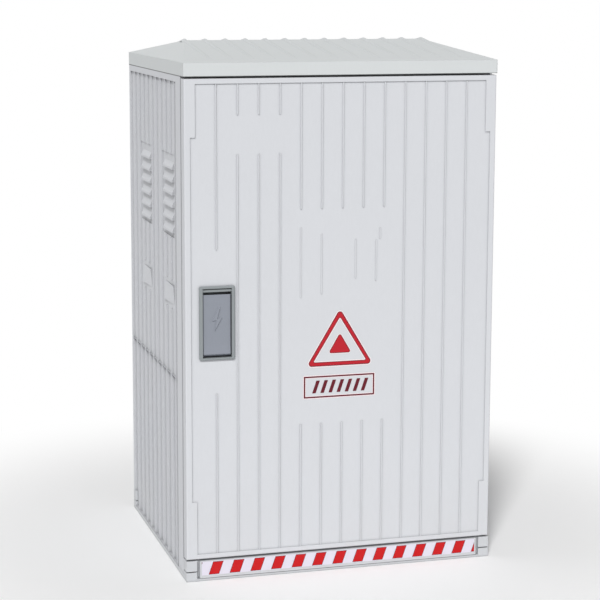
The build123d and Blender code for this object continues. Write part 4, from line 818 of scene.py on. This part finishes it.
class CABINET_OT_door_marks(bpy.types.Operator):
    """Prints the plain triangle and the barred box on the door"""

    bl_idname = "cabinet.door_marks"
    bl_label = "Door marks"

    def execute(self, context):
        marks = context.scene.cabinet_marks
        lift = marks.print_height / MM
        front, back = DOOR_FIELD_Y - lift, DOOR_FIELD_Y + lift
        red = printed("Sign ink", marks.ink_colour, (0.70, 0.06, 0.07), fade=0.12)
        dark = printed("Dark ink and painted shadow", marks.dark_ink_and_shadow_colour, (0.30, 0.06, 0.07), fade=0.12)
        pale = printed("Sign rim", marks.rim_colour, (0.76, 0.70, 0.70), fade=0.2)
        rims = [
            ring_mesh("rim", SIGN_CORNERS, SIGN_ROUND, SIGN_RIM, 0.0, front, back),
            ring_mesh("rim", SIGN_WINDOW, WINDOW_ROUND, 0.0, -WINDOW_RIM, front, back),
            ring_mesh("rim", SIGN_CORE, CORE_ROUND, CORE_RIM, 0.0, front, back),
            ring_mesh("rim", SIGN_BOX, BOX_ROUND, BOX_RIM, 0.0, front, back),
            ring_mesh("rim", SIGN_BOX, BOX_ROUND, -BOX_EDGE, -BOX_EDGE - BOX_INNER_RIM, front, back),
        ]
        edges = [
            ring_mesh("edge", SIGN_CORNERS, SIGN_ROUND, 0.0, -SIGN_EDGE, front, back),
            ring_mesh("edge", SIGN_WINDOW, WINDOW_ROUND, WINDOW_EDGE, 0.0, front, back),
            ring_mesh("edge", SIGN_CORE, CORE_ROUND, 0.0, -CORE_EDGE, front, back),
            ring_mesh("edge", SIGN_BOX, BOX_ROUND, 0.0, -BOX_EDGE, front, back),
        ]
        for x in BAR_PLACES:
            bar = slanted_bar(x, BAR_LOW, BAR_HIGH, BAR_WIDTH, BAR_LEAN)
            edges.append(plate_mesh("bar", rounded_outline(bar, BAR_ROUND, steps=5), front, back))
        ring_inside = round_ring(SIGN_WINDOW, WINDOW_ROUND, WINDOW_EDGE)
        ring_outside = round_ring(SIGN_CORNERS, SIGN_ROUND, -SIGN_EDGE)
        reds = [
            band_mesh("ring", ring_inside, ring_outside, front, back),
            plate_mesh("core", round_ring(SIGN_CORE, CORE_ROUND, -CORE_EDGE), front, back),
        ]
        piece("sign_rims", joined("sign_rims", rims), pale, "door")
        piece("sign_edges", joined("sign_edges", edges), dark, "door")
        piece("sign_reds", joined("sign_reds", reds), red, "door")
        return {"FINISHED"}


class CABINET_OT_kick_tape(bpy.types.Operator):
    """Lays the striped tape along the kick panel, each stripe on a dark border of painted shadow"""

    bl_idname = "cabinet.kick_tape"
    bl_label = "Kick tape"

    def execute(self, context):
        marks = context.scene.cabinet_marks
        lift = marks.print_height / MM
        ground = printed("Tape ground", marks.tape_colour, (0.66, 0.63, 0.68), fade=0.3)
        red = printed("Tape stripe", marks.stripe_colour, (0.62, 0.03, 0.03), fade=0.2)
        dark = printed("Dark ink and painted shadow", marks.dark_ink_and_shadow_colour, (0.30, 0.06, 0.07), fade=0.12)
        strip = slanted_bar(-TAPE_HALF, TAPE_LOW, TAPE_HIGH, 2 * TAPE_HALF, 0.0)
        tape = rounded_outline(strip, TAPE_ROUND, steps=4)
        tape_mesh = plate_mesh("kick_tape", tape, KICK_Y - lift, KICK_Y + lift)
        piece("kick_tape", tape_mesh, ground, "cabinet")
        low, high = TAPE_LOW + STRIPE_MARGIN, TAPE_HIGH - STRIPE_MARGIN
        shadow_borders, fills = [], []
        # Each red stripe lies on a dark border a little larger than it: painted shadow round the raised
        # stripe.
        for number in range(-1, marks.stripe_count + 1):
            x = STRIPE_FIRST + STRIPE_PITCH * number
            stripe = slanted_bar(x, low, high, STRIPE_WIDTH, STRIPE_LEAN)
            inset = grown(stripe, -STRIPE_SHADOW_EDGE)
            for outline, lifts, made in ((stripe, SHADOW_BORDER_LIFTS, shadow_borders), (inset, FILL_LIFTS, fills)):
                seen = cut_level(outline, -TAPE_HALF, -1.0)
                seen = cut_level(seen, TAPE_HALF, 1.0) if len(seen) > 2 else seen
                if len(seen) > 2:
                    made.append(plate_mesh("stripe", seen, KICK_Y - lifts * lift, KICK_Y + lift))
        piece("kick_stripe_painted_shadow", joined("kick_stripe_painted_shadow", shadow_borders), dark, "cabinet")
        piece("kick_stripes", joined("kick_stripes", fills), red, "cabinet")
        return {"FINISHED"}


# Stage: the floor, the key light's direction and the camera that was fitted to the photograph

FLOOR_HALF = 30.0
FLOOR_POINTS = 13
FLOOR_DROP = 0.0003
FLOOR_PLAIN = 0.55
FLOOR_WHITE = 1.3
SUN_ANGLE = 0.18
SUN_TOWARDS = (-0.33, -0.68, 0.65)
PHOTO_SIDE = 600
LENS_CENTRE = (287.04, 270.91)
SENSOR_WIDTH = 36.0
CAMERA_PLACE = (-1.1675, -4.0187, 1.28875)
CAMERA_RIGHT = np.array([0.9629522, -0.2696661, 0.0017973])
CAMERA_DOWN = np.array([-0.0406051, -0.1515793, -0.9876107])
CAMERA_AHEAD = np.array([0.2665976, 0.9509489, -0.1569134])
CAMERA_REACH = 200.0


def axes_matrix(right, up, back):
    """Turn whose columns are these three axes."""
    return Matrix(np.column_stack([right, up, back]).tolist()).to_4x4()


def ray_mask(tree, first, *others):
    """1 for rays of these kinds, 0 for all others: the maximum of their flags."""
    rays = add_node(tree, "ShaderNodeLightPath")
    seen = rays.outputs[first]
    for kind in others:
        seen = math_node(tree, "MAXIMUM", seen, rays.outputs[kind])
    return seen


def mixed_shader(tree, share, first, second, output):
    """Mix of two shaders by a share, led to the output."""
    mix = add_node(tree, "ShaderNodeMixShader")
    for shader, place in ((share, 0), (first, 1), (second, 2)):
        tree.links.new(shader, mix.inputs[place])
    tree.links.new(mix.outputs[0], output.inputs["Surface"])


class CABINET_OT_stage(bpy.types.Operator):
    """Sets the floor, the light and the camera"""

    bl_idname = "cabinet.stage"
    bl_label = "Stage"

    def execute(self, context):
        scene = context.scene
        setting = scene.cabinet_stage
        scene.view_settings.view_transform = "Standard"
        self.lay_floor(scene, setting)
        self.light_world(scene, setting)
        self.hang_sun(scene, setting)
        self.place_camera(scene, setting)
        return {"FINISHED"}

    def lay_floor(self, scene, setting):
        """A square sheet just below the cabinet."""
        side = np.linspace(-FLOOR_HALF, FLOOR_HALF, FLOOR_POINTS)
        x, y = np.meshgrid(side, side)
        sheet = np.stack([x, y, np.full_like(x, -FLOOR_DROP)], axis=-1)
        mesh = grid_mesh("floor", sheet.transpose(1, 0, 2), False, False)
        floor = bpy.data.objects.new("floor", mesh)
        scene.collection.objects.link(floor)
        mesh.materials.append(self.floor_material(setting))

    def hang_sun(self, scene, setting):
        """The key light, from in front, above and a little to the left."""
        sun = bpy.data.lights.new("key_sun", "SUN")
        sun.energy = setting.sun_strength
        sun.angle = SUN_ANGLE
        lamp = bpy.data.objects.new("key_sun", sun)
        scene.collection.objects.link(lamp)
        towards = np.array(SUN_TOWARDS) / np.linalg.norm(SUN_TOWARDS)
        side_way = np.cross((0, 0, 1), towards)
        side_way /= np.linalg.norm(side_way)
        lamp.matrix_world = axes_matrix(side_way, np.cross(towards, side_way), towards)

    def place_camera(self, scene, setting):
        """The camera where the photograph was taken from."""
        lens = bpy.data.cameras.new("camera")
        lens.sensor_width = SENSOR_WIDTH
        lens.lens = setting.focal_length
        lens.shift_x = (PHOTO_SIDE / 2 - LENS_CENTRE[0]) / PHOTO_SIDE
        lens.shift_y = -(PHOTO_SIDE / 2 - LENS_CENTRE[1]) / PHOTO_SIDE
        lens.clip_end = CAMERA_REACH
        camera = bpy.data.objects.new("camera", lens)
        scene.collection.objects.link(camera)
        turn = axes_matrix(CAMERA_RIGHT, -CAMERA_DOWN, -CAMERA_AHEAD)
        camera.matrix_world = Matrix.Translation(CAMERA_PLACE) @ turn
        scene.camera = camera

    def floor_material(self, setting):
        """Diffuse near the cabinet; further out, white to the rays that see it directly."""
        material = bpy.data.materials.new("Studio floor")
        material.use_nodes = True
        tree = material.node_tree
        tree.nodes.clear()
        output = add_node(tree, "ShaderNodeOutputMaterial")
        diffuse = add_node(tree, "ShaderNodeBsdfDiffuse")
        diffuse.inputs["Color"].default_value = (*setting.floor_colour, 1.0)
        glow = add_node(tree, "ShaderNodeEmission")
        glow.inputs["Color"].default_value = WHITE
        place = add_node(tree, "ShaderNodeTexCoord").outputs["Object"]
        reach = add_node(tree, "ShaderNodeVectorMath", operation="LENGTH")
        tree.links.new(place, reach.inputs[0])
        far = ramp_node(tree, reach.outputs["Value"], FLOOR_PLAIN, FLOOR_WHITE)
        seen = ray_mask(tree, "Is Camera Ray", "Is Glossy Ray", "Is Transmission Ray")
        share = math_node(tree, "MULTIPLY", far, seen)
        mixed_shader(tree, share, diffuse.outputs[0], glow.outputs[0], output)
        return material

    def light_world(self, scene, setting):
        """Even light on the cabinet, white behind it."""
        world = bpy.data.worlds.new("Studio world")
        scene.world = world
        world.use_nodes = True
        tree = world.node_tree
        tree.nodes.clear()
        output = add_node(tree, "ShaderNodeOutputWorld")
        light = add_node(tree, "ShaderNodeBackground")
        light.inputs["Strength"].default_value = setting.world_strength
        light.inputs["Color"].default_value = WHITE
        behind = add_node(tree, "ShaderNodeBackground")
        behind.inputs["Color"].default_value = WHITE
        seen = ray_mask(tree, "Is Camera Ray", "Is Glossy Ray")
        mixed_shader(tree, seen, light.outputs[0], behind.outputs[0], output)


STEPS = (
    CABINET_OT_moulded_finish,
    CABINET_OT_metal_finish,
    CABINET_OT_fitting_finish,
    CABINET_OT_handle_flap,
    CABINET_OT_door_marks,
    CABINET_OT_kick_tape,
    CABINET_OT_stage,
)


class CABINET_PT_panel(bpy.types.Panel):
    """The cabinet's pieces and values in the sidebar"""

    bl_label = "Cabinet"
    bl_idname = "CABINET_PT_panel"
    bl_space_type = "VIEW_3D"
    bl_region_type = "UI"
    bl_category = "Cabinet"

    def draw(self, context):
        layout = self.layout
        scene = context.scene
        for group in (scene.cabinet_finishes, scene.cabinet_marks, scene.cabinet_stage):
            box = layout.box()
            for name in group.bl_rna.properties.keys():
                if name not in ("rna_type", "name"):
                    box.prop(group, name)
        for step in STEPS:
            layout.operator(step.bl_idname)


CLASSES = (CabinetFinishes, CabinetMarks, CabinetStage, *STEPS, CABINET_PT_panel)


def register():
    """Registers the classes and hangs the values on the scene."""
    for made_class in CLASSES:
        bpy.utils.register_class(made_class)
    bpy.types.Scene.cabinet_finishes = PointerProperty(type=CabinetFinishes)
    bpy.types.Scene.cabinet_marks = PointerProperty(type=CabinetMarks)
    bpy.types.Scene.cabinet_stage = PointerProperty(type=CabinetStage)


def unregister():
    """Takes the values and the classes away again."""
    del bpy.types.Scene.cabinet_stage
    del bpy.types.Scene.cabinet_marks
    del bpy.types.Scene.cabinet_finishes
    for made_class in reversed(CLASSES):
        bpy.utils.unregister_class(made_class)


def main():
    """Makes every piece and the stage."""
    register()
    for step in STEPS:
        group, name = step.bl_idname.split(".")
        getattr(getattr(bpy.ops, group), name)()


if __name__ == "__main__":
    main()
